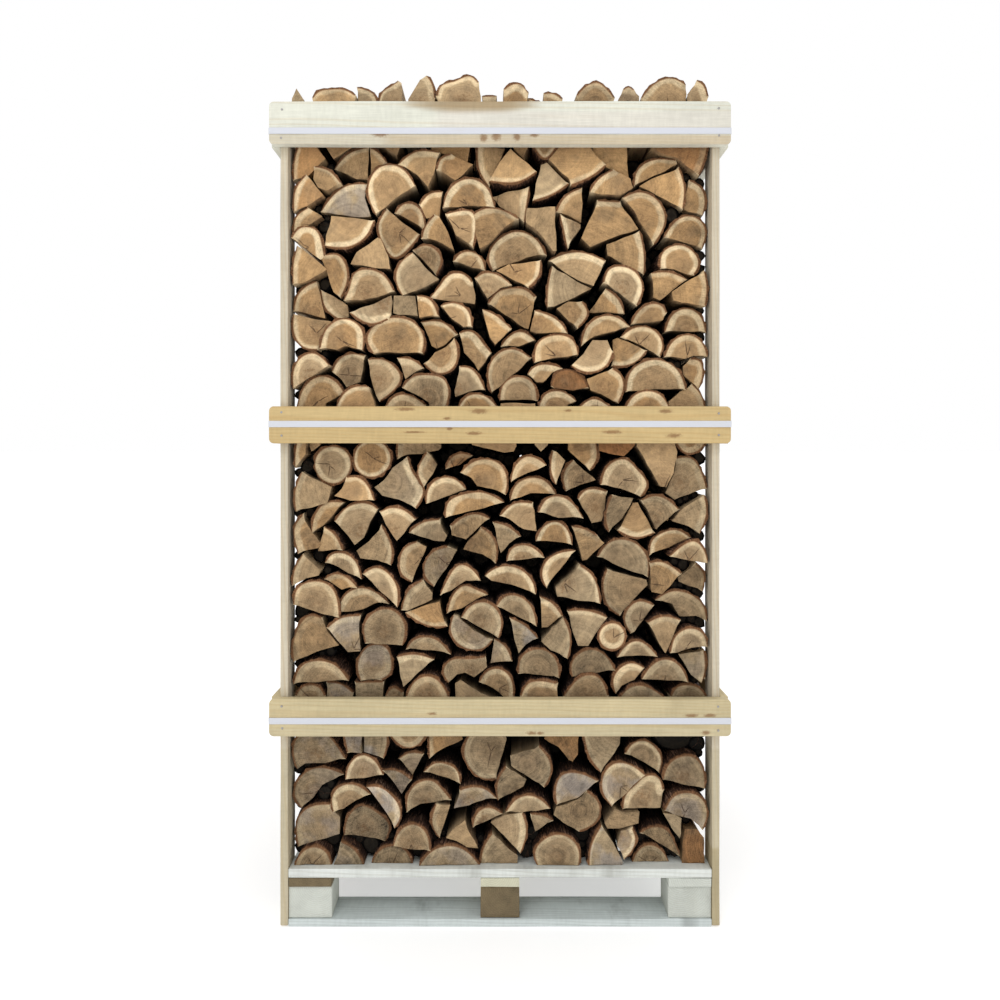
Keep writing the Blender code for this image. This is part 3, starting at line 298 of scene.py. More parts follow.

# Split ends of the front row, read off one by one, in cm from the middle and from the floor.
# Each is (n, x,z, x,z, ...), clockwise seen from the front: the first n points lie on the
# bark's arc and the others are split corners. (x, z, r) is a whole round log.
STACK = (
    (3, -53.1,190.2, -52.9,195, -51.3,199.6, -48,199.4, -44.9,195.3, -49.4,191),
    (2, -53.2,200.2, -52.6,204.9, -47.7,204.9, -48,200),
    (3, -46.8,203, -41.5,204.8, -37.2,203.2, -37.9,198.8, -42.8,195.6, -45,199),
    (3, -42.6,193.2, -39.2,197, -34,198.6, -34,190.3, -37,190.5),
    (3, -33.5,198.6, -31.4,197.4, -29.3,194.8, -30.5,194.1, -33.3,191.6),
    (3, -47.2,192.9, -43.8,192, -40.8,188.9, -44.2,186.8, -46.4,187.6, -47.6,189.8),
    (3, -53.5,181.7, -53,187.3, -50.5,190.7, -49.4,189.9, -46,185.7, -50,183.1),
    (4, -46,182.3, -43,186.3, -38.5,189, -34.4,189.1, -34.8,185.5, -33.3,180.9, -37,180.7, -42,181.4),
    (5, -31.9,181.3, -33.9,187, -30.8,193.2, -26,193.3, -21.8,188.5, -26.5,185.4),
    (3, -25.7,193.8, -21.5,196.8, -15.6,196.5, -16.9,191, -18.4,187.8, -21.3,191),
    (2, -36.3,204, -25.4,204.6, -25.2,199, -26.4,196.1, -30.3,198.8, -36.3,199.4),
    (2, -20,204.4, -8.2,204.8, -7.8,198.5, -8.4,194.5, -12.5,196.2, -17.5,197.9),
    (2, -24.6,204.5, -20.5,204.6, -21,199.5, -24.4,199.4),
    (3, -16,192.3, -15.1,194.8, -12.6,196, -6.9,193.6, -11.4,189.5),
    (3, -2.9,188.5, -5.2,192.5, -5.7,199, 1.3,198.3, -0.6,193.8),
    (2, -7,204.8, 1.6,204.8, 1.2,199.2, -6.6,199.8),
    (3, 9.2,191.8, 5,189.3, -2.4,189.3, -2,190.6, 0,194.2, 2.7,197.6),
    (2, 2.4,204.7, 8,204.5, 7.4,199, 6.1,195.5, 3.6,198),
    (3, 15,199.6, 11.5,195.6, 8.3,199.4, 8.8,204.6, 14.8,204.7),
    (2, 15.6,204.8, 23.4,204.6, 22.6,200, 16,200),
    (3, 26.9,193.6, 23.5,190.9, 18.3,188.6, 17.3,190.5, 12.4,195, 16.3,199.4, 22.3,199.4),
    (3, 17.4,189, 13.5,186.4, 8.7,184.8, 9.2,189, 10.5,193.8, 12,194.4),
    (5, -14.5,182.7, -12.8,187.3, -7.5,189.9, -3.3,187.5, -1.5,182.8),
    (2, 7.5,188.4, 6.2,179.7, 4.8,180.6, 0,183.4, -2,186),
    (3, -20.6,184.1, -18,186.8, -14.9,187.2, -15.4,183, -15.6,180.7, -19,180.4),
    (3, 14.6,182, 16.8,185.8, 20.9,188, 21.2,184, 20.8,179.1, 17.5,180.9),
    (2, 24,204.4, 33,204.8, 32.8,195.3, 33.3,191.2, 29,193, 27.6,193.6, 23.9,196.9),
    (3, 23.1,187, 25.3,190.2, 28.9,192.5, 32,191.1, 33.4,190.2, 34.1,187.8, 31,186.1, 26,186.3),
    (4, 34.6,188.9, 35.3,192.5, 39,195.2, 45,195.1, 45.5,194.2, 38.8,190.9),
    (3, 45.9,193.1, 47.3,188.5, 46.9,182.9, 42,185.4, 35.8,188.5, 39.2,190.5),
    (3, 53.2,204.5, 53.1,197, 51.2,191.1, 48,193.2, 45.8,195.2, 41,196.6, 39.3,198, 40.2,204.3),
    (2, 33.8,204.7, 39.4,204.5, 38.4,199.4, 33.8,199.6),
    (4, 49.3,190, 51.8,188.5, 53.2,184.5, 52.6,181.4, 48.8,182.2, 47.7,182.9, 47.9,186),
    (3, -53.5,175.7, -52.9,180.3, -50.1,182.7, -46.3,180.6, -50,178.1),
    (4, -32.4,179.3, -34.2,175.6, -38.5,172.8, -44.7,172.9, -43.2,180.6, -37,180.1),
    (5, -53.5,174.9, -51.7,177.1, -47.6,176.8, -46.2,173.5, -45.6,169.9, -46.6,169.4, -51,172.7),
    (3, -53.5,163.2, -53.5,168.5, -52.5,172.5, -51.3,172.1, -44.9,166.8, -48.5,164.6, -51.5,163.2),
    (4, -44.5,170.5, -41.6,170.6, -39,165.5, -40.8,160, -42.6,161.1, -44.3,166.3, -45.5,169.4),
    (0, -38.2,168.2, -36.6,171.2, -31.2,174.8, -30.4,174.5, -28.5,170.2, -28,166.9, -34,167.6),
    (6, -20.7,176, -23,173, -27.2,170.2, -30.1,173.8, -31.3,178.5, -29.3,182.6),
    (5, -26.9,181.9, -24.8,184.1, -21.6,183.7, -19.8,181, -19.3,177.4, -22,179.2),
    (3, -19.8,174.9, -19,177.6, -16.7,180.4, -15.5,180.2, -13.3,176.3, -11.7,171.7, -16,174),
    (4, -22,171.7, -18.8,172.9, -15.1,169.8, -16.3,165.6, -19.3,168.8),
    (4, -24.9,160.2, -26.5,164, -25.3,168.5, -22.4,171, -17,165.4, -15.6,164.4, -21.3,161.4),
    (6, -39.7,159, -38.3,162.5, -37.2,165.8, -33,166.8, -29.2,164.8, -27.2,161.4, -31.5,159.6, -35,158.9),
    (4, -53.5,156.6, -52.3,160.8, -50,163, -47.7,164, -46.8,161, -45.5,154.6),
    (3, -41.6,154.5, -44.6,156.8, -46.1,161.8, -43,160.4, -39.3,158, -38.9,154.9),
    (4, -47.6,146.5, -51,147, -53.5,150.5, -53.5,155.3, -43.9,153.6, -46,150.5),
    (5, -45.7,146.9, -44.4,151.2, -39.6,154.1, -35.5,151.8, -35.1,146.3, -39.3,147.3, -41.5,146.3),
    (3, -28.8,154.2, -32.5,152.9, -38,155.6, -31,158.6, -27.8,160.2, -27.4,158.5, -27.8,155.5),
    (0, -27,160, -21.6,159.9, -21,154.9, -26,155.2, -27.2,155.6),
    (4, -21,160, -18.3,159.4, -16.7,157.5, -15.9,155.2, -20.6,154.5),
    (7, -32.3,145.5, -33.9,149, -31.5,153, -26.5,154.5, -21.3,152.7, -19.4,149, -19.8,145.6),
    (3, -13.7,180.8, -7.2,181.4, -6.9,172.8, -11.3,175.5),
    (4, -6.7,180.8, -4.5,182.1, 0.5,182, 4.5,179.9, 1.3,177.7, -3,173.3, -5.2,172.2, -6.2,175.5),
    (0, 6.8,182.4, 14.1,182.8, 14.4,171.4, 13.4,171.4, 11.2,174.6, 8.8,177.2, 6.6,178.7),
    (2, 17.2,172.4, 15.4,180.5, 20.6,178.2, 20.5,177.2),
    (6, -1.9,167, -2.9,170, -0.8,174.5, 4.8,177, 9.3,175, 11.6,171.2, 7,170.3, 2.4,168.6),
    (3, 10.3,168.9, 9.7,165, 7.3,162.4, 3,164.4, -1,166.5, 2.2,168.1),
    (5, -11.8,169.5, -10.3,171.2, -7.5,171.8, -4.7,169.9, -3.9,167.2, -7,167.6),
    (5, -18,159.9, -15.3,163.3, -12.8,166, -9,165.8, -7.3,164, -6.3,160.5, -6.5,158.3, -12,158.9),
    (4, -6.2,164.6, -4,165.9, -1,165.6, 2.7,163.1, 0.1,162.1, -3.2,159.4),
    (5, -2.8,158.3, -0.8,161, 3.5,162.3, 7,161.6, 8.8,160, 8.6,157.3, 7.3,151.8, 6.3,152, 1,155.5),
    (4, 12.8,169.7, 15.5,170.9, 21,171.6, 26.9,169.4, 25.6,166, 24.1,163, 20,164.6, 16,167.1),
    (3, 12.2,157.6, 12.3,162, 13.4,167.9, 17,166.1, 20,164.1, 23.6,162.4, 19.5,160.2, 14,157.6),
    (4, -15.1,157.6, -12,158.3, -8.4,156.6, -7.2,152.4, -9.4,152.2, -12.5,154.4),
    (3, -4.4,156.6, -1,155, 2.7,151.7, 0.2,148.9, -1.2,147.6, -2.6,149.5),
    (4, 9,156.2, 13,154.9, 16,152.6, 17.1,150.8, 9.3,150.6, 7.7,151.2, 8.3,154),
    (4, 0.4,147.6, 2.4,150, 5,151.2, 9.1,149, 7,148.3, 4.8,147.4),
    (2, 25.3,184.9, 30.8,184.7, 35.7,177.7, 30,175.8, 23.2,172.9, 20.9,175.1, 22.7,179.3),
    (5, 31.8,185.6, 35.5,186.9, 40.5,184.7, 42.4,180, 39.6,173.8, 37.2,177.5),
    (3, 35.9,176.9, 37,172, 37,166.1, 32,168.2, 28.6,170.5, 27.7,170.8, 27.4,173.6, 31,175),
    (6, 26.6,163.6, 28,166.9, 31.5,167.6, 35.2,165.7, 36.5,162.5, 35,157.9, 33.2,158.8, 30.5,160.9),
    (3, 27.2,161.9, 30.3,159.3, 31.9,155.7, 22.7,156, 25.8,160.3),
    (3, 21,158.6, 22.4,156, 20,152.2, 17.6,153.7, 14.5,156.9, 17.5,158.7),
    (5, 20.8,147.5, 22.2,152, 26.5,154.9, 30.3,154.3, 32.8,152.4, 29.5,151.1, 24.3,149.8),
    (5, 33.6,153, 35.3,156, 38.8,158, 41.3,157.4, 42.3,155.8, 41.5,153.8, 37,153.3),
    (3, 38.9,166, 42.5,166.3, 47.7,164.4, 41,159, 39.3,159.8),
    (6, 41.3,167.5, 41.8,171.3, 45.5,173.5, 49.4,172.2, 51.2,168.8, 50,166, 48.3,165.9, 45,167.2),
    (3, 52.7,166.2, 53.4,162, 52.9,157.7, 47,158.3, 44.8,158.9, 44.5,161.1, 48,163.5),
    (5, 43,151.3, 44.8,155.4, 48.8,157.1, 52,155.3, 53.4,151.3),
    (6, 42.9,175.6, 45.3,179.2, 48.7,181, 52.2,179.8, 53.5,177, 52.6,173, 49.5,173.8, 46.5,174.6),
    (5, -53.4,136.6, -53.4,140.5, -51.5,144.2, -48.3,145.4, -44.2,142.4, -46.3,141, -50.5,138.4),
    (4, -43.2,141, -41.3,144.2, -38,145.5, -35,145, -35.3,141.5, -36.1,138.2, -39.6,136.9, -40.9,138.9),
    (6, -33.8,144, -30.5,144.1, -27,142, -25.6,139.5, -27.5,136, -30.8,133.5, -32,135, -33.4,139.8),
    (3, -26,144.2, -22.8,143.9, -19.7,141.8, -24.2,138.8),
    (5, -52,131.3, -50.6,136.3, -46,139.7, -42,138, -40.2,135.4, -44.8,132.8, -46,128.6, -51.3,128.6),
    (4, -41.8,131.5, -39.5,135.4, -36.5,136.9, -33.5,136.8, -31.8,132, -32.2,128.6, -41,128.6),
    (6, -24.7,136.7, -22.5,139.1, -18,139.8, -14.5,138.9, -13.1,136, -13.8,132, -14.5,128.8,
     -17.5,129.5, -18.2,132.9),
    (4, -29.1,132, -27,134.4, -23.8,134.9, -19.3,132.3, -18.8,128.6, -28.5,128.6),
    (3, -52.2,116.4, -52.2,119.5, -50.8,126.6, -49.6,126.6, -49.6,119.6),
    (0, -48.9,127, -46,127, -46.3,122, -48.6,120.3, -49,121.5),
    (-43, 116.9, 4.75),
    (-32.8, 118.5, 4.75),
    (2, -26.4,118.6, -26.3,127, -15,127, -15.2,121.3, -16,120.6, -24.3,119.4),
    (3, -53.2,105.3, -53.5,110, -51.8,114.9, -49.4,113.7, -44.2,111.2, -45.3,107.1),
    (4, -39,113.7, -36.2,113.7, -33.9,111.8, -32.3,108, -38.3,107.8, -42.2,109, -40.3,110.9),
    (4, -23.8,119, -22.2,114.6, -19.7,110.3, -21.6,106, -26,108, -30.3,109, -32.3,111.1, -29.8,113,
     -27.5,116.2),
    (3, -19.6,111.5, -21,115, -18.7,119.9, -17.6,119.3, -16.1,117, -17.2,114.5),
    (3, -20,153.6, -15.5,153.8, -11.2,150.6, -14.2,147.7, -16.3,146.8, -17.6,147.5),
    (5, -11.7,149.3, -10.9,145.5, -12.5,141.4, -16,140.4, -19.3,142.8, -16.7,145.8, -14,147.1),
    (4, -10.2,150.7, -7.7,151.2, -4.8,148.7, -2.4,145.8, -5.6,141.2, -6.6,143, -9.2,145.7),
    (5, -2.2,135.6, -3.1,140, -1,145.1, 3.2,146.7, 7.7,144.5, 5.5,141.8, 0,137),
    (4, -10.2,142.1, -8,141.9, -5.6,139.7, -4,136.4, -8,135.7, -11.5,134.4, -11.7,136),
    (4, -10.6,131.8, -8.3,134.6, -4,134.7, -0.9,132, -2,128.6, -9.5,128.6),
    (5, 0,133.6, 0.8,137.4, 4.7,139.6, 8.4,138, 9.5,133.6),
    (4, 7.2,140.3, 8.8,142, 12,142.7, 15.8,141.8, 13.3,140.5, 11.1,138.1, 9.4,138.1),
    (5, 8.9,143.3, 9.7,148, 14.5,150.2, 18.8,148.7, 20,145.2),
    (4, 13.3,137.2, 14.5,140.2, 19,140.9, 22.5,136.8, 18.8,136, 14,136.6),
    (4, 10,131.8, 11.8,135.1, 15.8,135.8, 19.6,133.4, 17.5,132.4, 16.5,128.6, 11,128.6),
    (0, 0.2,132.6, 9,132.6, 9,128.6, 0,128.6),
    (2, -7.4,127, 4,127, 4.2,121.7, 3.5,120.3, 1.2,120, -4,121.2, -7.2,122),
    (0, 8.5,127, 12.5,127, 12.2,122, 10.4,120.3, 8.9,122),
    (4, -13.9,116, -13,118.2, -10.5,119.8, -7.4,119.3, -10.3,116.9),
    (5, -18.9,107, -18.3,111, -14.5,113.7, -11,112.9, -8.9,110.8, -12.5,109.2),
    (5, 2.8,112.6, 3.7,116.2, 6.9,119.1, 9.7,118.4, 11.8,116.9, 9.5,115.7, 5,113.9),
    (3, 14.2,112, 13,115.5, 13.5,120.3, 14.5,120.2, 16.6,118, 15.4,115),
    (3, 24.7,122.5, 24.7,118, 23.2,115.7, 20,118.4, 17.5,120.8, 18,127, 24.6,127),
    (5, 28.7,145.6, 27.3,142.5, 24,140.7, 20.5,141, 18.3,142.2, 21.3,145.2, 23.6,148.7, 27.4,148.7),
    (4, 37.4,146.1, 35.5,143.8, 32.5,142.4, 29,142.4, 29,149, 30.2,149.5, 34.5,147.7),
    (6, 31.3,149.9, 33.5,151.6, 37.3,152.4, 41,150, 41.8,147, 41.2,145.1, 39.7,145.7, 37,147.2),
    (5, 42.8,144.8, 44.8,148.6, 48.8,150.3, 52.2,148.3, 53.5,144.9, 50,144.9, 47.7,144.1),
    (6, 32.3,135.8, 33.3,140.5, 37.5,143.5, 42,143.5, 45.9,140.7, 47.6,136.4, 40,136.3),
    (4, 50.5,144.1, 52.6,143.7, 53.5,140.5, 52.5,136.6, 48.6,139.9, 48.5,142.3),
    (4, 28.9,141.4, 30.9,139.9, 31.5,136, 30.3,133.1, 28.9,133.3, 26,135, 23.2,136, 22.2,138.9),
    (3, 20.3,131.5, 23.7,133.8, 28.5,131.5, 28,128.6, 20.8,128.6),
    (5, 32.2,131.5, 34.3,134.6, 38,135.8, 41.3,134.6, 43.2,131.5, 42.5,128.6, 33,128.6),
    (3, 50.2,137.5, 52.2,135.2, 53.2,131.5, 53,128.6, 44.2,128.6, 44,133.2, 47,135.8),
    (0, 25.2,127, 34.8,127, 34.4,122, 31.6,119.1, 25.3,120.5),
    (6, 26,112, 27.5,116.3, 31.9,118.4, 35.6,115.3, 37.7,112, 36.1,108.8, 31,110.8),
    (0, 35.4,126.8, 44.4,126.8, 44.8,121.8, 45.3,120.2, 44.4,114.8, 42.6,111.2, 40.9,111.4,
     38.6,115.5, 34.9,121.6),
    (4, 53,123, 50.8,120.4, 47.5,120.1, 45.3,122.8, 45.7,127, 52.8,127),
    (4, 45.8,118.6, 49.2,118.7, 51.9,115.5, 53.3,111, 50,109.8, 45.2,107.9, 42.8,109.6, 44.6,113.6),
    (4, -48.1,99.6, -47.4,103.8, -44.7,107.1, -40.4,107.3, -42.8,104, -45.2,101.4),
    (5, -42.4,102.5, -40,105.5, -36,107.1, -33,106.6, -31.5,105.6, -33.4,102.2, -35,98.2, -37.4,96.2),
    (4, -52.6,94.6, -53.5,97.5, -53.4,101.5, -51.6,104, -49.2,99.7, -46.9,96.7, -47.6,95.6),
    (3, -44.9,100.9, -42.6,99.3, -40.5,95.3, -46.6,94.8),
    (5, -44.8,91.9, -43.5,93.7, -40.6,94.3, -37.3,92.4, -35.7,87.9, -39,89.1, -42.5,91.1),
    (3, -53.5,86.4, -53,90.2, -51,93.9, -46.4,90, -46.9,88.7, -50,88),
    (4, -30.4,101, -28.6,97.8, -27.7,94.5, -28.1,91.4, -31.5,92.4, -35.9,92.9, -36.9,94.8, -33.6,97.3),
    (4, -30.6,104.9, -28,105.9, -24.6,105.3, -21.8,103.1, -24.5,99.5, -26.5,97.4, -29.3,101.5),
    (3, -23.1,99.7, -20,102.1, -15.5,102.9, -14.9,100.9, -13.5,98.8, -14.2,97.4, -17,97.6),
    (5, -22.8,87, -25.2,88.8, -25.8,92, -24.6,95.4, -21.5,97, -18.9,95.8, -20.9,91.2),
    (5, -34.9,89.1, -31.8,90.6, -28.5,89, -26.3,85, -26.3,80.7, -31,84.9),
    (4, -44.8,87.7, -42.5,88.9, -39.3,88.1, -36.8,85.6, -38.6,85.5, -40.6,84.9),
    (6, -53.5,81.4, -52.8,85.1, -48.3,87.2, -44.2,85.7, -42.6,82.3, -42.2,78, -46.2,78.7, -50.5,80.2),
    (5, -41.7,78.9, -40.3,82.8, -36,85.2, -32,84, -28.8,81.3, -31.5,81.4, -36.5,79.4),
    (3, -25.1,79.9, -23.4,84.7, -19.9,87.2, -17.3,84, -17.4,82.4, -23.6,79.5),
    (6, -9.9,115.1, -7.5,117.3, -3.8,118.4, 0,117.1, 1.8,113.3, 1.4,109.5, -2,110.8, -5.8,111.5,
     -7.3,113.6),
    (5, -13.9,103.5, -13.3,107.2, -9,109.5, -4,109.8, 0.7,107.5, -4,105.9, -9,104.8),
    (5, 2.7,107.9, 4.1,111.7, 7.8,113.6, 11.7,112.7, 14.4,109.4, 7.9,109.6),
    (5, 10,105, 12,108.2, 15.2,108.9, 18.8,106.8, 21.1,103.5, 14.9,103.4),
    (3, 0.3,104, 3.6,106.9, 8.2,107, 8.9,105.1, 9.4,99.8, 6,100.4),
    (4, -12.4,101.3, -9.6,103.4, -6,104.3, -2.9,103.2, -8.7,97.8, -12.4,98.9),
    (4, -4.8,100.7, -2.4,98.9, -0.9,95.5, -1.1,91.8, -4.5,93.9, -9.4,95.2, -8.4,97.1),
    (3, -1.7,102.1, 1.9,101.1, 5,98.6, 2.3,96.6, 0.2,94.2, -0.6,96.7),
    (5, 9.3,97.4, 11.2,101, 14.5,102.3, 17.4,100.1, 18.5,96.5, 14.5,97.1),
    (4, 1.8,92.3, 3.1,95.4, 7,96.2, 11.2,93.3),
    (5, -17.1,85.9, -19.1,88.1, -19.3,91.6, -17,94.7, -13.5,95.8, -11,95.1, -13.8,90.2),
    (5, -15.3,83.6, -13.3,87.8, -10,91.3, -7.3,90.2, -5,87.3, -8.8,87.2, -12.6,84.6),
    (6, -3.8,88.4, -1.5,90.1, 3,90.8, 6.8,88.9, 8.7,86, 9.1,84, 3,86.1, -2.2,87.1),
    (5, 11.9,85.4, 10.9,88, 11.6,91.6, 14.5,93.9, 19.1,94.8, 16.2,90.9),
    (5, -13.5,79, -12.1,83.3, -9,85.8, -6.4,84.9, -3.2,83.5, -6.2,82.2, -10,79.9),
    (4, 20.5,91.1, 23.3,89, 24.9,85.7, 25.5,81.7, 14.6,83.4, 14.2,85.6, 17.3,88),
    (4, 17,110.3, 16.3,113, 17,116, 18.8,118, 21.8,115.3, 24.7,113, 20.8,111.8),
    (3, 20.1,108.2, 22,110.3, 27.4,110, 26.8,104.2, 26.1,102.4, 23.6,101.9),
    (4, 27.8,100.1, 27.1,102.5, 27.6,106.8, 28.6,109.1, 34,108.4, 31.3,103.4),
    (3, 39.6,99.4, 35.2,98.2, 30.4,100, 32.1,103.2, 34.1,107.1, 35.4,107.2),
    (4, 36.3,107.9, 39.5,109, 42.6,108.2, 45.6,105.6, 42.8,103, 39.9,100.4, 38.1,104.6),
    (3, 52.2,109, 52.7,104.5, 50.9,99.7, 48,101.3, 43.8,102.6, 47,106),
    (3, 18.7,101, 21.7,100.4, 24.8,98.7, 26.8,96.8, 22.3,92.5, 21.1,92.3, 20.5,95),
    (6, 25.4,93.4, 28,96.8, 32,97.7, 36,95.9, 38.1,92.3, 38.1,88.2, 31.5,90.4),
    (5, 38.6,93.9, 39.1,97.2, 42.5,99.7, 45.6,100.1, 48.8,98.3, 43.5,95.6),
    (5, 44,93.8, 47.5,96.7, 50,97.5, 52.3,95.6, 53.5,91.9, 47.5,92.8),
    (4, 38.6,91.7, 41.3,92, 44.3,90.7, 46.6,88.9, 41.7,83.6, 39,84.2, 38.7,88),
    (3, 51.2,91.3, 53.2,88.8, 52.8,84.6, 46.7,86.9, 46.7,88),
    (5, 30.8,78.2, 28,80.4, 26.7,84, 26.7,87.3, 27.6,89.9, 37.7,87.3, 38,85.9, 34.5,82.3),
    (5, 40.3,82.2, 44.8,84.4, 49,83.6, 52.2,81, 53.3,76.9, 50.5,78, 46.2,77.9, 44.5,81.1),
    (5, -53.2,66.9, -53.5,70.5, -52.3,75.1, -49.3,78.3, -46.4,77.7, -44.7,74, -41.9,70.6, -47.5,69.1),
    (3, -44,75.3, -40.9,77.6, -36,78.2, -36,72, -35.8,69.1, -39,68.9, -41.7,72),
    (6, -34.4,71.4, -34.8,75.8, -31.7,79.5, -28,79.9, -24.6,76.5, -25,70.6, -29,70.9),
    (8, -35.9,61.5, -36.7,64.5, -35.7,68.3, -33.2,70.4, -29.6,70, -28,66.8, -28.5,63, -30.5,61.7),
    (5, -53.5,60.8, -51.6,65.2, -47,66.7, -42.3,65.2, -39.5,61.9, -44.5,61.6),
    (5, -52.5,57.5, -51,59.6, -48.3,60.3, -46.2,59.4, -45.2,57.5, -45.6,54, -52,54),
    (3, -44.5,60.8, -41,60.4, -38,58.2, -38.1,54, -44.2,54),
    (2, -37.1,60.9, -30.2,60.9, -30.1,54, -37.3,54),
    (3, -29.4,57.5, -27.6,59.5, -25.2,58.2, -24.8,54, -29.2,54),
    (3, -26.2,68, -22,68.6, -17.1,67.3, -20.8,64, -24.6,60.4),
    (5, -23.8,57.8, -21.8,61.6, -18.2,63.1, -15,61.2, -13.2,57.8, -13.5,54, -23.3,54),
    (4, -13.8,75.6, -17.5,75.5, -21.5,77.1, -24.1,78.8, -20,80.6, -15.4,81.9, -15.1,79.5),
    (5, -23.8,70.1, -22.3,72, -18.5,73.1, -15,71.5, -12.9,69, -17.5,69.7),
    (6, -2.2,71.8, -4,70, -7.3,69.5, -11,71.3, -12.7,74.8, -11.9,78.2, -10.8,78, -7,74.6),
    (6, -9.7,78, -7.5,80.8, -4,81.8, -0.9,80, 0.4,76.5, -0.4,72.7, -5,75.2),
    (5, -0.8,80.9, 1.3,83.2, 4.8,83.3, 8.2,80.2, 9.3,75.7, 4.6,78),
    (3, 2.8,77.5, 6.2,75.8, 9.5,72.5, 6.5,70.6, 4.8,68.5, 3.7,72),
    (3, 10.4,83, 13.2,81.6, 15.8,78.3, 12.3,75.3, 10.7,75.2),
    (4, 16.2,77.7, 17.5,74.8, 17.9,71, 17.2,67.7, 13,69.6, 10.5,71.9, 13.3,75.3),
    (3, -1.3,71.9, 1.4,70, 3,66.5, -2.5,65.8, -1.9,69.2),
    (5, -13.2,61.3, -14.5,64.3, -12.5,67, -8,67.3, -3.9,67.7, -3.3,65.2, -6.6,62.6, -9,63.8, -11,63.3),
    (5, -5.2,61.3, -3.4,63.8, -0.5,64.6, 2.4,62.8, 3.4,57.5, 3.2,54, 1,57.3, -1.6,59.5),
    (0, -11.6,60.5, -10.2,61.4, -4.8,58, -0.5,56.3, -0.3,54, -11.6,54),
    (6, 4.8,63.4, 5.4,67.4, 9,69.7, 12.7,68.9, 14.9,65.5, 15.1,62.5, 10,63),
    (4, 5.4,58, 7.3,61.2, 9.8,61.8, 14.4,61.1, 14.7,57.5, 14.6,54, 5.6,54),
    (5, 16.4,57.8, 18.3,60.4, 21.3,62.9, 24.8,62.8, 27.6,57.8, 27,54, 16.8,54),
    (3, 17.5,79.4, 22.5,79.5, 27.3,77.9, 22.6,70.5, 20,70.5, 18.3,75.3),
    (28.6, 73.2, 3.35),
    (5, 33.7,73.7, 32.2,76.3, 33,79.8, 35.9,81.8, 39.4,80.8, 36.8,76.8, 34.7,73.9),
    (3, 37.9,76.6, 41.8,78.2, 46,77.3, 43.9,72.5, 42.2,68.8, 40.6,71.3),
    (5, 44.2,69.2, 45.3,73, 49,75.2, 52.3,73.9, 53.5,70.6, 49.5,70.2, 46,69.1),
    (5, 30.3,67.8, 32.1,70.4, 35.2,71.8, 38,70.4, 40.2,67.9),
    (6, 18.6,62.5, 18.3,65.5, 20.8,68.7, 24.3,69.4, 27.6,67.4, 29.3,64.4, 25,63.5),
    (5, 29.7,58.2, 29.1,61.5, 30.9,64.7, 34.2,66, 36.9,64.8, 34.6,61.7, 31.3,60.1),
    (5, 36.4,62.1, 38.8,65.4, 42.6,67.1, 46.1,65.3, 48.1,61.4, 42,61.7),
    (3, 52.9,69, 53.3,65, 52.4,60.7, 49.6,62.9, 46.4,68.1),
    (5, 30.8,57.3, 33,59.8, 36,60.5, 39.3,59.3, 42.1,57.3, 41.5,54, 31.5,54),
    (5, 44.1,57.3, 45.5,59.5, 48.5,60.2, 51.3,59.4, 53,57.3, 52.5,54, 44.5,54),
    (7, -52.6,39.3, -53.5,42.5, -53.2,46.2, -50.3,49, -46.5,49, -43,45.8, -40.6,42, -45.5,40.7, -50.5,40.6),
    (6, -51.3,28.8, -52.9,31.5, -51.9,36, -47.8,38.8, -44.5,38.6, -40.7,37.2, -46,34.4, -48.2,31.3),
    (5, -42.9,27.7, -43.3,31, -41.3,34.1, -37,34.6, -33.6,32.4, -37.2,30.5, -40.2,28.4),
    (5, -52.9,18.8, -53.4,22, -52.9,26, -50,28.7, -44.8,29.4, -43.9,27.7, -42.2,26.1, -42.3,21.8, -48,20.1),
    (5, -52.3,14.7, -50.7,17.8, -47.3,19.3, -44.3,17.7, -43.2,14.7),
    (2, -38.8,43.7, -40,49, -35.3,49.5, -35.3,43.4),
    (3, -29.2,49.5, -29,45, -29.9,42, -32.5,42.7, -34.8,43.4, -34.9,49.5),
    (5, -39.6,36.3, -38.5,40.2, -35.3,42.4, -32.2,40.8, -30.2,37.4, -34.8,36.4),
    (6, -33.9,34.6, -31.3,34.6, -27.8,32.2, -25.6,28.5, -25.9,25.5, -27,23.8, -28.8,27.2, -31.6,31.4),
    (3, -29.8,38.6, -26.4,38.6, -22.9,36.4, -25.2,32.6),
    (3, -25.9,41.4, -23.5,42.8, -19.8,42.6, -22.5,37.1),
    (5, -18.9,48.5, -20.5,45.8, -23.2,44.6, -26.3,45.9, -28.4,48.5, -28,50, -19.3,50),
    (2, -18.1,41.7, -18.5,50, -10.5,50, -9.6,46.3, -14,44.2),
    (5, -19.3,38, -17,40, -13.7,40, -11,38.2, -10.3,35.2, -14.5,36.6),
    (6, -24,27.7, -23.6,32, -21,35.1, -17.3,35.5, -14.6,33, -12.8,30.8, -16.5,30.1, -20.3,29.7),
    (6, -40,21.7, -39.2,26, -35.7,29.1, -31.8,27.4, -28.6,23.8, -29.6,19.9, -34.5,21),
    (3, -40.5,20.6, -37.4,18.8, -35,14.7, -42.5,14.7),
    (5, -32.8,14.7, -31.3,17.5, -27.8,19.2, -24.5,18.3, -22.6,14.7),
    (5, -27.2,19.7, -25.7,23.3, -21.9,25.2, -18.9,23.3, -17.9,19, -23,19),
    (5, -20.5,14.7, -17.8,18.1, -12.8,19.8, -8.6,18.3, -5.4,14.7),
    (6, -1.2,36.3, -4.5,36.3, -7.6,38.7, -9.3,42.7, -8,47, -5.5,49.5, 0.5,49.8, 1.7,46.3, 0.1,41),
    (4, -0.5,31.3, -0.8,34.2, 0.3,38, 1.5,39.6, 6.8,36.5, 6,34.7),
    (4, 10,44.8, 12.8,41, 12.9,38, 11.3,35, 7.5,37.2, 2.9,40.1, 2.6,42.7),
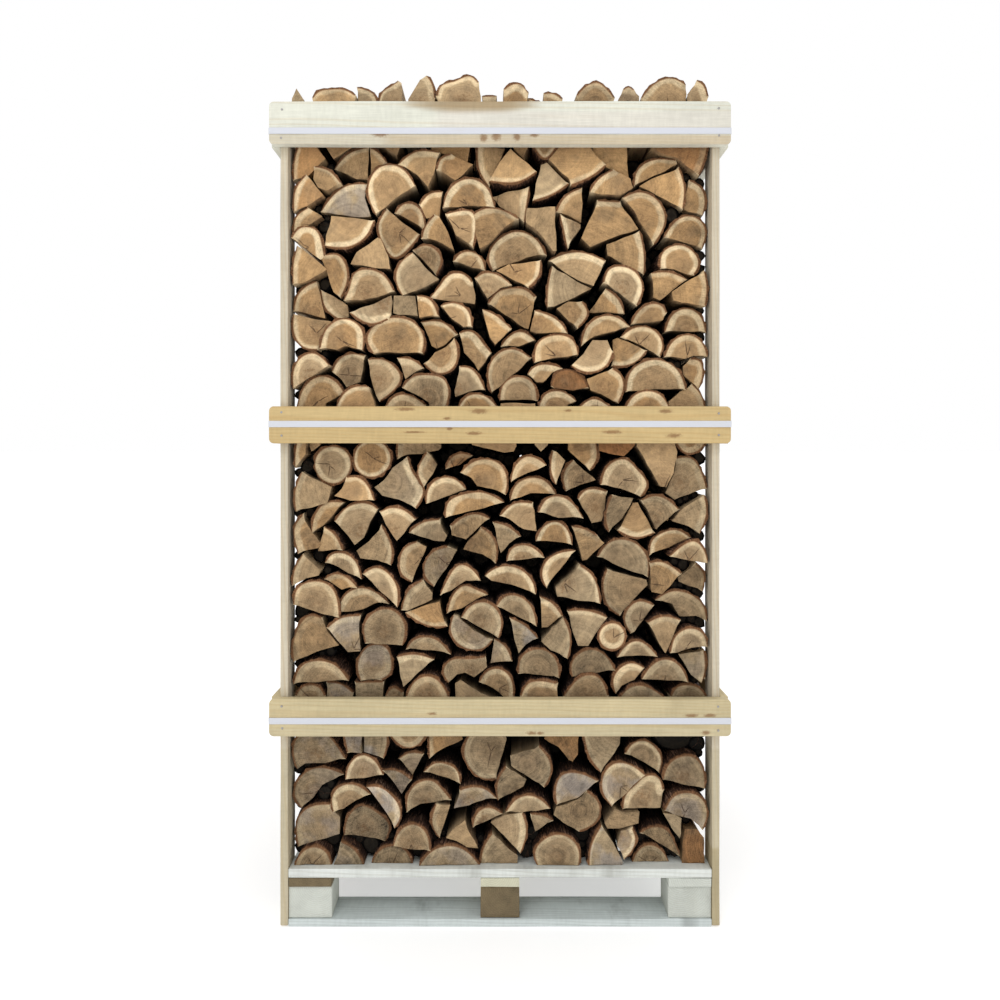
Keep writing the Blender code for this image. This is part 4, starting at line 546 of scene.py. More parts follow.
    (0, 12,50.3, 20.4,50.3, 19.9,42.7, 18.6,40.9, 17.6,41.3, 15,44.6, 11.4,46.6),
    (4, -10.1,33.6, -7,34.5, -4,34, -1.1,31.7, -3.5,31.4, -8,29.7, -11.8,28.9),
    (5, 1.7,28.5, 4.3,31.6, 7.7,32.5, 10.8,31.1, 12.8,29.2, 9,28.5),
    (4, -15.6,21.1, -17.1,23.5, -17.4,26.5, -16.4,29.6, -12.8,29.6, -14.4,24.5),
    (4, -6.9,24.4, -5.7,28, -3.2,29.3, 0.4,27.8, -3.2,26),
    (0, -13.8,21.5, -12.2,23.5, -8.9,26.1, -8.4,24, -5.6,18.8, -8.5,19.1, -11.3,20.8),
    (3, 5.7,27.8, 6.7,24.5, 5.2,18.1, 1,22.4, -2.4,25.7, 1.2,27.4),
    (3, 8,27.7, 10.8,27.4, 13.3,26.1, 9,23.4),
    (4, -4.9,14.7, -4.4,18, -3.3,20.5, -2,22.3, 4.6,16.7, 4.4,14.7),
    (7, 9.6,14.7, 8.9,18, 11,21.2, 15,22.7, 18.6,21.2, 20.3,17.5, 20,14.7),
    (5, 14.5,30.3, 14.2,34, 15.7,37.7, 19.5,38.4, 24.7,36.4, 21.3,33.1, 19.8,31.9),
    (5, 22.3,33.2, 24.9,31, 25.6,28.5, 24.7,25.8, 20.3,23.3, 17.3,24.7, 13.7,27.4, 14.4,29.5, 19.8,31.3),
    (3, 25.6,38.8, 23.1,42, 21.5,47.5, 21.8,50.3, 31,50.3, 30.6,45.5, 28.5,42.3),
    (6, 32.4,42.7, 34,45, 37,45.9, 40,44.1, 41.6,40.8, 41,37.9, 37,40.4),
    (6, 28.4,30, 26.3,33.3, 26.4,37.8, 29.2,40.8, 33,40.6, 36.8,38, 32.2,33.2),
    (6, 42.8,36.5, 43.9,40, 47,42.4, 50.3,42.4, 52.7,39.8, 53.5,34.2, 48.5,35),
    (6, 31.6,28.8, 32.3,32.3, 34.9,34.9, 37.5,37, 40.5,36.7, 41.8,33.5, 41.2,28.8),
    (6, 42.3,29.2, 44.3,32.3, 48,33.4, 51.7,31.9, 53.2,28, 52,24.2, 49,26.8, 46.6,27.4),
    (0, 41.6,28.1, 44.6,27.9, 46.3,26.8, 46.2,22.8, 45.9,21.5, 43.7,24.4),
    (0, 29.4,29.1, 31.2,28.2, 35.7,28.2, 35.4,25.1, 30.5,24, 27.4,24.1, 26.7,25.5),
    (3, 22.8,14.7, 23.2,19.5, 25.8,24.7, 29,20.3, 31.4,15.5, 31.2,14.7),
    (4, 33.8,23.9, 34.6,21.5, 33.8,18.6, 31.8,16.4, 29.8,19.8, 30.9,23.4),
    (5, 36.2,22.7, 39.3,24.1, 42.6,23.4, 44.7,20, 46,16.9, 41,19.8),
    (5, 34.2,14.7, 35.6,17.6, 38.7,19, 41.7,17.5, 43.4,14.7),
    (0, 46.6,14.7, 46.9,20.5, 47.4,23.6, 50.5,23.7, 52.2,21.5, 52.5,14.7),
)

# Loose logs on top of the front row, in the same form: each has a node of its own
TOP_LOGS = (
    (0, -53.2,205, -53.3,210.8, -52.2,213.4, -50.4,210.6, -49.8,205),
    (5, -47.8,210.8, -46.5,212.3, -43.5,213, -39.5,212.8, -37.2,211.4, -37,205, -47.5,205),
    (4, -36.6,214, -34.5,213.4, -32.5,212.2, -31.6,209, -31.7,205, -36.6,205),
    (4, -31.1,210.5, -30,213.2, -28.3,214.3, -26.3,215.7, -25.4,215.3, -24.6,205, -30.9,205),
    (3, -18.9,217, -17.6,215, -16.9,211.2, -16.8,205, -23.9,205, -23.6,211, -20.6,215.9),
    (5, -15.9,211, -15,213.6, -11.5,214.9, -7.6,216.2, -5.6,214.6, -4.9,211, -5.1,205, -15.6,205),
    (2, -4.4,211.1, -1,211.2, -1.2,205, -4.6,205),
    (4, 1.2,212.5, 3.3,213.8, 5.3,213.7, 7,211.8, 6.9,205, 0.8,205),
    (2, 7.5,211.2, 10.6,210, 10.5,205, 7.4,205),
    (3, 11.4,212.3, 13.5,212.3, 15.8,210.9, 15.9,205, 11.1,205),
    (5, 19.7,211, 21.8,213.3, 24.8,214.4, 27,213, 29,210.6, 28.5,205, 20,205),
    (3, 31.8,213.2, 32.9,213.9, 34.2,213.1, 35.7,211.5, 35.7,205, 29.8,205, 30.3,210.5),
    (5, 36.4,211, 38.5,213.6, 41,215.4, 43.6,216.1, 47.6,214.5, 47.9,212, 47.2,205, 36.3,205),
    (3, 50.9,214.9, 51.9,214.3, 53.3,211, 53.3,205, 48.4,205, 48.3,211.5),
)

# Logs whose tone stands out: (x, z) in cm, brightness and warmth from -1 to 1
TONES = (
    (-37, 184, 0.3, -0.7), (-32, 156, 0.3, -0.5), (31, 163, 0.5, -0.3), (-49, 141, 0.8, -0.3),
    (-30, 139, 0.5, -0.2), (-8, 138, 0.4, -0.5), (-14, 111, 0.6, -0.2), (24, 145, 0.9, -0.2),
    (-30, 87, 0.7, -0.4), (28.6, 73, 0.5, -0.1), (-29, 30, 0.7, -0.8), (-35, 39, 0.4, -0.6),
    (15, 147, 0.9, 0.1), (-12, 162, 0.6, 0), (5, 104, 0.5, -0.1), (-9, 59, 0.4, -0.2),
    (37, 33, 0.4, -0.4), (14, 90, 0.5, 0), (-48, 83, 0.3, -0.2), (-10, 88, 0.3, -0.3),
    (-39, 74, 0, -0.7), (-26, 112, -0.1, -0.6), (-24, 157, -0.9, -0.2), (10, 178, -0.5, 0),
    (19, 156, -0.2, 0.2), (32, 113, -0.1, -0.3), (-33, 59, -0.9, -0.5), (-2, 121, -0.8, -0.2),
    (18, 138, -0.5, 1), (30, 122, -0.7, 0.9), (17, 46, -0.9, 0.7), (49, 19, -1, 0.8),
    (-18, 79, -0.1, 0.6), (-11, 118, -0.5, 0.8), (-15, 46, -0.4, 0.6), (-20, 121, -0.2, 0.5),
    (-6, 107, -0.1, 0.5), (-41, 87, -0.1, 0.4), (4, 212, 0.2, 0.5), (5, 192, 0.7, 0.2),
    (20, 194, 0.5, 0.3), (0, 180, 0.2, 0.2), (41, 140, -0.3, 0), (-43, 175.5, 0.3, -0.1),
    (-28.2, 189, 0.4, 0.1), (28.7, 178, -0.4, 0.3), (33, 171, -0.4, 0.25),
)


# Shapes

def ripple(seed, waves, *coordinates):
    """Return smooth noise of about -1 to 1: six sine waves over the coordinates are added up, each
    with a seeded direction and phase, and a density between half and once and a half `waves`."""
    rng = np.random.default_rng(seed)
    total = 0.0
    for _ in range(6):
        phase = rng.uniform(0, TAU)
        for coordinate, wave in zip(coordinates, waves):
            phase = phase + coordinate * wave * rng.uniform(0.5, 1.5) * rng.choice((-1, 1))
        total = total + np.sin(phase)
    return total / 3.2


def smooth_curve(points, step):
    """Return points a step apart on the natural cubic spline through the given ones: between two
    of them it is their blend plus a cubic bend, whose strengths solve for even curvature."""
    gaps = np.hypot(*np.diff(points, axis=0).T)
    count = len(points)
    system = np.eye(count)
    bend = np.zeros((count, 2))
    inner = np.arange(1, count - 1)
    system[inner, inner - 1] = gaps[:-1]
    system[inner, inner] = 2 * (gaps[:-1] + gaps[1:])
    system[inner, inner + 1] = gaps[1:]
    slope = np.diff(points, axis=0) / gaps[:, None]
    bend[1:-1] = 6 * np.diff(slope, axis=0)
    bend = np.linalg.solve(system, bend)
    along = np.concatenate([[0.0], np.cumsum(gaps)])
    samples = np.linspace(0, along[-1], max(4, int(along[-1] / step)) + 1)
    piece = np.clip(np.searchsorted(along, samples, side="right") - 1, 0, count - 2)
    gap = gaps[piece]
    after = ((samples - along[piece]) / gap)[:, None]
    before = 1 - after
    curve = before * points[piece] + after * points[piece + 1]
    cubic = (before ** 3 - before) * bend[piece] + (after ** 3 - after) * bend[piece + 1]
    return curve + cubic * (gap ** 2)[:, None] / 6


def grid_faces(rows, columns):
    """Return the faces of a grid that closes around its columns, with a pole at either end: quads
    between rows, and triangles at the poles, which are the first and the last point."""
    row, column = np.meshgrid(np.arange(rows - 1), np.arange(columns), indexing="ij")
    here = 1 + row * columns + column
    beside = 1 + row * columns + (column + 1) % columns
    quads = np.stack([here, beside, beside + columns, here + columns], axis=-1).reshape(-1, 4)
    ring = np.arange(columns)
    after = (ring + 1) % columns
    last = 1 + (rows - 1) * columns
    first_fan = np.stack([after + 1, ring + 1, np.zeros(columns, int)], axis=-1)
    last_fan = np.stack([last + ring, last + after, np.full(columns, last + columns)], axis=-1)
    return quads, np.concatenate([first_fan, last_fan])


class Heap:
    """Surfaces gathered as arrays, made into one object at the end."""

    def __init__(self):
        """Start empty."""
        self.count = 0
        self.points = []
        self.faces = []
        self.slots = []
        self.values = {}

    def add(self, points, faces, slots, **values):
        """Add a surface: its points, its lists of faces, each face's finish, and its values, each
        by point or one for all of them."""
        self.points.append(points)
        for group in faces:
            self.faces.extend((group + self.count).tolist())
        self.slots.append(slots)
        for name, value in values.items():
            whole = value if len(value) == len(points) else np.tile(value, (len(points), 1))
            self.values.setdefault(name, []).append(whole)
        self.count += len(points)

    def make(self, name, finishes):
        """Return the object, with its finishes, its values as attributes, and smooth shading."""
        mesh = bpy.data.meshes.new(name)
        mesh.from_pydata(np.concatenate(self.points), [], self.faces)
        for finish in finishes:
            mesh.materials.append(finish)
        mesh.polygons.foreach_set("material_index", np.concatenate(self.slots).astype(np.int32))
        for value_name, parts in self.values.items():
            value = np.concatenate(parts)
            kind = "FLOAT_VECTOR" if value.ndim == 2 else "FLOAT"
            attribute = mesh.attributes.new(value_name, kind, "POINT")
            field = "vector" if value.ndim == 2 else "value"
            attribute.data.foreach_set(field, value.astype(np.float32).ravel())
        mesh.shade_smooth()
        mesh.set_sharp_from_angle(angle=SHARP_ANGLE)
        piece = bpy.data.objects.new(name, mesh)
        bpy.context.scene.collection.objects.link(piece)
        return piece


def attach(piece, slot_name, *nodes):
    """Ride a finished piece on the crate, in place of its nodes."""
    if nodes:
        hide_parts(*nodes)
    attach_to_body(piece, ROOT)


# The logs

class Split:
    """One split log, seen from the front: its outline, bark, pith and tone."""

    def __init__(self, entry, number, lift=1.0):
        """Read an entry: a whole round log has three numbers. The number is the log's seed."""
        self.seed = number
        self.lift = lift
        rng = np.random.default_rng(number)
        if len(entry) == 3:
            *centre, radius = np.array(entry, float) * CENTIMETRE
            self.trace_round(np.array(centre), radius, rng)
        else:
            corners = np.array(entry[1:], float) * CENTIMETRE
            self.trace(corners.reshape(-1, 2), entry[0], rng)
        self.middle = self.kernel()
        self.tone = np.array([*self.pick_tone(rng), rng.uniform(0, 1)])

    def trace_round(self, centre, radius, rng):
        """Set the outline of a whole log: a circle made uneven by two and by three waves around."""
        sides = int(np.clip(TAU * radius / BARK_STEP, *ROUND_SIDES))
        turns = -np.linspace(0, TAU, sides, endpoint=False)
        uneven = UNEVEN_LOG if radius > BILLET_MOST else UNEVEN_BILLET
        wobble = 1 + uneven * (np.sin(2 * turns + self.seed) + np.sin(3 * turns + 2.1 * self.seed))
        ring = np.stack([np.cos(turns), np.sin(turns)], axis=1) * (radius * wobble)[:, None]
        self.outline = ring + centre
        self.bark = np.ones(sides, bool)
        self.pith = centre + rng.uniform(-PITH_OFF, PITH_OFF, 2)

    def trace(self, corners, bark_count, rng):
        """Set the outline, its bark flags and the pith. The bark's stretch is a smooth curve, and
        each split side runs straight between its corners, torn a little in and out."""
        parts = []
        flags = []
        if bark_count > 1:
            arc = corners[:bark_count]
            if bark_count > 2:
                parts.append(smooth_curve(arc, BARK_STEP))
            else:
                parts.append(straight(*arc, BARK_STEP))
            flags.append(np.ones(len(parts[0]), bool))
            rest = [arc[-1], *corners[bark_count:], arc[0]]
        else:
            rest = [*corners, corners[0]]
        for start, end in zip(rest[:-1], rest[1:]):
            side = torn(start, end, rng.integers(1 << 30))
            parts.append(side[1:] if parts else side)
            flags.append(np.zeros(len(parts[-1]), bool))
        self.outline = np.concatenate(parts)[:-1]
        self.bark = np.concatenate(flags)[:-1]
        centre = corners.mean(axis=0)
        if bark_count > 2:
            self.pith = circle_centre(corners[:bark_count], centre)
        elif bark_count == 2:
            self.pith = centre + (centre - corners[:2].mean(axis=0)) * PITH_PAST
        else:
            turn = rng.uniform(0, TAU)
            self.pith = centre + FAR_PITH * np.array([math.cos(turn), math.sin(turn)])

    def kernel(self):
        """Return a point that sees the whole outline: of a grid of trial points, the one that lies
        furthest inside the line through every side."""
        low = self.outline.min(axis=0)
        high = self.outline.max(axis=0)
        trial = np.stack(np.meshgrid(*np.linspace(low, high, TRIALS).T), axis=-1).reshape(-1, 1, 2)
        side = np.roll(self.outline, -1, axis=0) - self.outline
        length = np.hypot(*side.T) + TINY
        across = trial - self.outline[None]
        inside = (side[:, 1] * across[..., 0] - side[:, 0] * across[..., 1]) / length
        return trial[np.argmax(inside.min(axis=1)), 0]

    def pick_tone(self, rng):
        """Return brightness and warmth: a spread around the middle, greyer low down and, as painted
        shade, darker there, and darker and greyer on loose logs, unless the log is listed as one
        that stands out; a listed log still gets the painted shade low down."""
        x, z = self.middle / CENTIMETRE
        # How low the log lies: there it turns greyer and, as painted shade, darker
        low = float(np.clip((LOW_BELOW - z) / 100, 0, 1))
        loose = float(z > LOOSE_ABOVE)
        for tone_x, tone_z, bright, warm in TONES:
            if math.hypot(x - tone_x, z - tone_z) < TONE_REACH:
                return bright - LISTED_LOSS * low, warm
        bright, warm = rng.normal(*BRIGHT_SPREAD), rng.normal(*WARM_SPREAD)
        for share, (bright_loss, warm_loss) in ((low, LOW_LOSS), (loose, LOOSE_LOSS)):
            bright -= bright_loss * share
            warm -= warm_loss * share
        return bright, warm


def straight(start, end, step):
    """Return points about a step apart from start to end."""
    count = max(1, round(math.hypot(*(end - start)) / step))
    return start + np.linspace(0, 1, count + 1)[:, None] * (end - start)


def torn(start, end, seed):
    """Return points from start to end that wander aside as a split does: by a ripple that fades
    towards both ends."""
    side = straight(start, end, SPLIT_STEP)
    length = np.hypot(*(end - start)) + TINY
    out = np.array([-(end - start)[1], (end - start)[0]]) / length
    along = np.linspace(0, 1, len(side))
    tear = ripple(seed, TEAR_WAVES, along * length) * np.sin(math.pi * along)
    return side + out * (tear * min(TEAR, TEAR_SHARE * length))[:, None]


def circle_centre(points, inside):
    """Return the centre of the circle nearest to the points, found by least squares, held within
    a trunk's radius of them on the inside of the arc."""
    system = np.column_stack([2 * points, np.ones(len(points))])
    centre = np.linalg.lstsq(system, (points ** 2).sum(axis=1), rcond=None)[0][:2]
    top = points[len(points) // 2]
    inward = inside - top
    inward = inward / (np.hypot(*inward) + TINY)
    reach = float(np.clip((centre - top) @ inward, *TRUNK_RADII))
    return top + inward * reach


def stand_out(split, down):
    """Return how far the side stands out from the outline, as vectors by row and column. Under bark
    it is the bark's thickness with its ridges and swells, thinner next to a split side; on a split
    side it is the depth of the fibres."""
    outline = split.outline
    bark = split.bark.astype(float)
    edge = np.roll(outline, -1, axis=0) - np.roll(outline, 1, axis=0)
    out = np.stack([-edge[:, 1], edge[:, 0]], axis=1)
    out = out / (np.hypot(*out.T)[:, None] + TINY)
    nearby = np.convolve(np.r_[bark[-1], bark, bark[0]], BARK_WEIGHTS, "valid")
    thick = np.minimum(nearby, bark + BARK_SPILL)
    around = np.concatenate([[0.0], np.cumsum(np.hypot(*np.diff(outline, axis=0).T))])
    ridge = ripple(split.seed + 1, RIDGE_WAVES, around, down)
    swell = ripple(split.seed + 2, SWELL_WAVES, around, down)
    fibre = ripple(split.seed + 3, FIBRE_WAVES, around, down)
    stand = thick * (BARK_THICK + BARK_RIDGE * ridge + BARK_SWELL * swell)
    stand = stand + (1 - bark) * FIBRE_DEPTH * (fibre - FIBRE_SINK)
    return out * stand[..., None]


def closed(first, rows, last):
    """Return all rows in one array, after the first pole and before the last one."""
    return np.concatenate([[first], *(row.reshape(-1, *np.shape(first)) for row in rows), [last]])


def log_surface(split, detail, face_y, length, spin, painted_shade):
    """Return one log's points, faces, finishes and values.

    The surface is a grid: columns run round the outline, rows run out over the sawn face, down
    the side and in over the far end. On the face a row is the outline drawn towards the middle
    by a share, and slants by the tilt of the cut. On the side it stands out, and the whole log
    bends along its length by part of a sine wave.
    """
    outline = split.outline
    columns = len(outline)
    shares = np.array(FACE_SHARES[detail])[:, None, None]
    along = np.array(SIDE_SHARES[detail])[:, None]
    down = along * length
    rng = np.random.default_rng(split.seed + 7)
    tilt = rng.normal(0, CUT_TILT, 2)
    bend = rng.normal(0, LOG_BEND, 2)

    face = split.middle + shares * (outline - split.middle)
    relief = SAW_RELIEF * ripple(split.seed, SAW_WAVES, face[..., 0], face[..., 1])
    rounding = np.where(shares[..., 0] == 1.0, EDGE_ROUNDING, 0.0)
    face_depths = face_y + (face - split.middle) @ tilt + relief + rounding
    sway = np.sin(math.pi * along / BEND_PERIOD) * (along > BEND_START)
    side = outline + stand_out(split, down) + bend * sway[..., None]
    side_depths = face_y + ((outline - split.middle) @ tilt) * (1 - along) + down
    back = split.middle + np.array(BACK_SHARES)[:, None, None] * (outline - split.middle) + bend
    back_depths = np.full(back.shape[:2], face_y + length)
    drawn = closed(split.middle, (face, side, back), split.middle + bend)
    depth = closed(face_y, (face_depths, side_depths, back_depths), face_y + length)

    # Faces: a quad belongs to the side when its first row lies between the rim and the far end
    row_count = len(shares) + len(along) + len(back)
    quads, fans = grid_faces(row_count, columns)
    row = np.arange(row_count - 1)[:, None]
    on_side = (row >= len(shares) - 1) & (row < len(shares) + len(along) - 1)
    side_slots = np.where(split.bark & np.roll(split.bark, -1), BARK, SPLIT_SIDE)
    slots = np.where(on_side, side_slots, SAWN_END).ravel()
    slots = np.concatenate([slots, np.full(len(fans), SAWN_END)])

    # Values: place from the pith, and distance from the bark or, on bark, from the sawn end
    flat = closed(split.middle, (face, np.broadcast_to(outline, side.shape), back), split.middle)
    rim = bark_distance(flat, outline[split.bark])
    inside_bark = split.bark & np.roll(split.bark, 1) & np.roll(split.bark, -1)
    rim[1:-1].reshape(-1, columns)[len(shares):-len(back)][:, inside_bark] = down
    pith = np.column_stack([flat[:, 0] - split.pith[0], depth, flat[:, 1] - split.pith[1]])

    # Painted shade: darkness by depth inside the stack, and on billets wherever they show
    inner = np.clip((INNER_SIDE - abs(split.middle[0])) / INNER_FADE, 0, 1)
    inner = inner * np.clip((INNER_TOP - split.middle[1]) / INNER_FADE, 0, 1)
    deep = inner * np.clip((depth - FACE_Y - FACE_SPREAD) / DARK_DEPTH, 0, 1)
    dark = np.full(len(deep), painted_shade)
    dark[1 + (len(shares) + 1) * columns:] *= SIDE_PAINTED_SHADE + (1 - SIDE_PAINTED_SHADE) * inner
    deep = np.maximum(deep, dark)

    points = settle(np.column_stack([drawn[:, 0], depth, drawn[:, 1]]), split.lift)
    if spin:
        points = points * (-1, -1, 1) + (0, 2 * FACE_Y + 2 * ROW_STEP + LOG_LENGTH, 0)
    return points, (quads, fans), slots, {"pith": pith, "tone": split.tone, "rim": rim, "deep": deep}


def overhang(x, extra=0.0):
    """Return how far a log with these x reaches past the stack's side, negative on the left."""
    return math.copysign(max(np.abs(x).max() + extra - SIDE_REACH, 0.0), x.mean())


def settle(points, lift):
    """Draw a log in so that it clears the posts, the deck and the height of the whole crate."""
    points = points - (overhang(points[:, 0]), 0, 0)
    points[:, 0] = np.clip(points[:, 0], -SIDE_REACH, SIDE_REACH)
    above = np.maximum(points[:, 2] - STACK_TOP, 0)
    points[:, 2] = np.minimum(points[:, 2], STACK_TOP) + above * lift
    points[:, 2] = np.clip(points[:, 2], DECK_TOP, CAD_BOUNDS[1][2] - TOP_GAP)
    return points


def bark_distance(places, bark_line):
    """Return each place's distance to the nearest point of the bark line, if there is one."""
    if not len(bark_line):
        return np.full(len(places), NO_BARK)
    apart = places[:, None] - bark_line[None]
    return np.sqrt((apart ** 2).sum(axis=-1).min(axis=1))


def face_depth(x, z):
    """Return how far forward an end stands: near FACE_Y, a little different for each log."""
    return FACE_Y + FACE_SPREAD * math.sin(DEPTH_WAVE_X * x + DEPTH_WAVE_Z * z)


def entry_centre(entry):
    """Return the middle of an entry's points in metres, as the part's source works it out."""
    if len(entry) == 3:
        return entry[0] * CENTIMETRE, entry[1] * CENTIMETRE
    values = np.array(entry[1:], float) * CENTIMETRE
    return values[0::2].mean(), values[1::2].mean()


def add_logs(heap, entries, seed, detail, heights=(0.0, TALLEST), shift=0.0, spin=False, lift=1.0):
    """Add to a heap the logs of a list whose middles lie between two heights, each at its own
    depth and with a seed of its own."""
    for number, entry in enumerate(entries):
        x, z = entry_centre(entry)
        if heights[0] <= z < heights[1]:
            split = Split(entry, seed + number, lift)
            level = detail(split) if callable(detail) else detail
            face_y = face_depth(x, z) + shift
            length = LOG_LENGTH - FACE_SPREAD
            points, faces, slots, values = log_surface(split, level, face_y, length, spin, 0.0)
            heap.add(points, faces, slots, **values)


def add_billets(heap, seed, shift=0.0, spin=False):
    """Add the thin billets of one row. They start well behind the faces, except at the sides and
    on the deck."""
    for number, entry in enumerate(hollows()):
        x, z = entry[0] * CENTIMETRE, entry[1] * CENTIMETRE
        inner = abs(x) < BILLET_INNER and z > DECK_TOP + LOW_GAP
        recess = BILLET_RECESS if inner else SIDE_RECESS
        length = LOG_LENGTH - FACE_SPREAD - recess
        split = Split(entry, seed + number)
        # Billets get painted shade: they are dark wherever they show
        points, faces, slots, values = log_surface(
            split, "rough", FACE_Y + shift + recess, length, spin, BILLET_PAINTED_SHADE)
        heap.add(points, faces, slots, **values)


def open_side(split):
    """Return the detail for a log inside the stack: finer where a side or the top shows it."""
    x, z = np.abs(split.outline[:, 0]).max(), split.outline[:, 1].max()
    return "plain" if x > SHOWN_SIDE or z > SHOWN_TOP else "rough"


@functools.lru_cache(maxsize=1)
def hollows():
    """Return the thin round billets that fill the gaps of the stack, as (x, z, radius) entries.

    On a grid of trial places outside every outline, the place furthest from all of them gets a
    billet as thick as its distance allows; this is repeated until no thick enough gap is left.
    """
    columns = np.arange(-BILLET_SIDE, BILLET_SIDE, HOLLOW_STEP)
    rows = np.arange(DECK_TOP + HOLLOW_LOW, HOLLOW_TOP, HOLLOW_STEP)
    places = np.stack(np.meshgrid(columns, rows), axis=-1).reshape(-1, 2)
    free = np.ones(len(places), bool)
    outlines = []
    for entry in STACK:
        outline = Split(entry, 1).outline
        outline = outline - (overhang(outline[:, 0], BARK_THICK), 0.0)
        within = (places > outline.min(axis=0)) & (places < outline.max(axis=0))
        near = np.flatnonzero(within.all(axis=1))
        free[near[is_inside(places[near], outline)]] = False
        outlines.append(outline)
    places = places[free]
    lines = np.concatenate(outlines)
    parts = np.array_split(places, 1 + len(places) // PLACES_AT_ONCE)
    reach = np.concatenate([bark_distance(part, lines) for part in parts])
    reach = np.minimum(reach, places[:, 1] - DECK_TOP)
    reach = np.minimum(reach, SIDE_REACH - np.abs(places[:, 0])) - BARK_THICK
    at_edge = (np.abs(places[:, 0]) > INNER_SIDE) | (places[:, 1] < DECK_TOP + LOW_GAP)
    reach = reach + np.where(at_edge, EDGE_EXTRA, 0.0)
    billets = []
    while reach.max() > LEAST_BILLET:
        best = int(np.argmax(reach))
        billets.append((*places[best] / CENTIMETRE, reach[best] / CENTIMETRE))
        reach = np.minimum(reach, np.hypot(*(places - places[best]).T) - reach[best])
    return tuple(billets)


def is_inside(places, outline):
    """Say which places lie inside an outline: a ray to the right crosses it an odd number of times."""
    after = np.roll(outline, -1, axis=0)
    x, z = places[:, :1], places[:, 1:]
    rises = (outline[:, 1] > z) != (after[:, 1] > z)
    slope = (after[:, 0] - outline[:, 0]) / (after[:, 1] - outline[:, 1] + TINY)
    return (rises & (x < outline[:, 0] + slope * (z - outline[:, 1]))).sum(axis=1) % 2 == 1


# Boards

def cut_back(ends, radius):
    """Return how far a quarter circle of a radius cuts back, by the distance from the end."""
    return radius - np.sqrt(radius ** 2 - np.maximum(radius - ends, 0) ** 2)


class Board:
    """A sawn board as a grid: a rounded rectangle carried along its length, with closed ends."""

    def __init__(self, low, high, axis, seed):
        """Take the board's box and its long axis; the larger of the other sizes is its width."""
        self.low = np.array(low, float)
        self.high = np.array(high, float)
        self.seed = seed
        sizes = self.high - self.low
        others = [other for other in range(3) if other != axis]
        self.order = [axis, *sorted(others, key=lambda other: -sizes[other])]
        self.length, self.width, self.depth = sizes[self.order]

    def section(self):
        """Return two arrays of the section's points, across and through: the sharp rectangle's
        corner or side each lies on, from -1 to 1, and its direction around the rounding."""
        turns = np.radians(CORNER_TURNS)
        wide_steps = np.linspace(-1, 1, WIDE_POINTS)[1:-1]
        thin_steps = np.linspace(-1, 1, THIN_POINTS)[1:-1]
        flats, rounds = [], []
        for quarter, (right, up) in enumerate(((1, 0), (0, 1), (-1, 0), (0, -1))):
            angle = turns + (quarter - 1) * math.pi / 2
            steps = wide_steps if quarter % 2 else thin_steps
            flats.append(np.tile((right + up, up - right), (len(turns), 1)))
            rounds.append(np.stack([np.cos(angle), np.sin(angle)], axis=1))
            flats.append(np.stack([right - up * steps, up + right * steps], axis=1))
            rounds.append(np.tile((right, up), (len(steps), 1)))
        return np.concatenate(flats), np.concatenate(rounds).astype(float)

    def rings(self, corner, step, edge):
        """Return the rings' places along the board, and half the width and depth of each: cut
        back near the ends by the edge's rounding and, with a corner, by a larger quarter circle
        across the width. The first and last ring lie within the flat ends."""
        start = np.array((0.0, 0.0, 0.3 * edge, edge))
        if corner:
            turns = np.linspace(CORNER_START, math.pi / 2, CORNER_RINGS)
            start = np.concatenate([start, corner * (1 - np.cos(turns))])
        middle = np.linspace(start[-1], self.length - start[-1], max(3, int(self.length / step)))[1:-1]
        places = np.concatenate([start, middle, self.length - start[::-1]])
        ends = np.minimum(places, self.length - places)
        half_width = self.width / 2 - cut_back(ends, edge)
        if corner:
            half_width = half_width - cut_back(ends, corner)
        half_depth = self.depth / 2 - cut_back(ends, edge)
        half_width[[0, -1]] *= 0.5
        half_depth[[0, -1]] *= 0.5
        return places, half_width, half_depth

    def build(self, heap, corner=0.0, step=BOARD_STEP, edge=0.0016):
        """Add the board to a heap, with its grain's place and its trunk's heart as values. Its
        faces wander inwards by up to about a millimetre, as sawn wood does."""
        flats, rounds = self.section()
        places, half_width, half_depth = self.rings(corner, step, edge)
        across = (half_width[:, None] - edge) * flats[:, 0] + edge * rounds[:, 0]
        through = (half_depth[:, None] - edge) * flats[:, 1] + edge * rounds[:, 1]
        along = np.broadcast_to(places[:, None], across.shape)
        inwards = ripple(self.seed, ACROSS_WAVES, along, through) - WANDER_SINK
        faces_aside = np.sign(flats[:, 0]) * (np.abs(rounds[:, 0]) > 0.3)
        wander_across = WANDER_ACROSS * inwards * faces_aside
        inwards = ripple(self.seed + 1, THROUGH_WAVES, along, across) - WANDER_SINK
        across = across + wander_across
        through = through + rounds[:, 1] * (WANDER_THROUGH * inwards)

        centre = (self.low + self.high) / 2
        first, last = centre.copy(), centre.copy()
        first[self.order[0]] = self.low[self.order[0]]
        last[self.order[0]] = self.high[self.order[0]]
        points = np.zeros((*along.shape, 3))
        points[..., self.order] = np.stack([along, across, through], axis=-1)
        flat = closed(first, [points + first], last)
        quads, fans = grid_faces(len(places), len(flats))
        if np.linalg.det(np.eye(3)[self.order]) < 0:
            quads, fans = quads[:, ::-1], fans[:, ::-1]

        rng = np.random.default_rng(self.seed + 5)
        grain = (flat - centre)[:, self.order]
        heart = np.array([0.0, rng.uniform(*HEART_ASIDE) * self.width, rng.uniform(*HEART_BELOW)])
        shift = np.array([rng.uniform(-GRAIN_SHIFT, GRAIN_SHIFT), 0.0, 0.0])
        tone = np.array([*rng.normal(0, 0.5, 2), rng.uniform(0, 1)])
        slots = np.zeros(len(quads) + len(fans), int)
        heap.add(flat, (quads, fans), slots, grain=grain + shift, heart=grain - heart, tone=tone)


# Shading: sockets that take Python's operators, and one finish for each surface

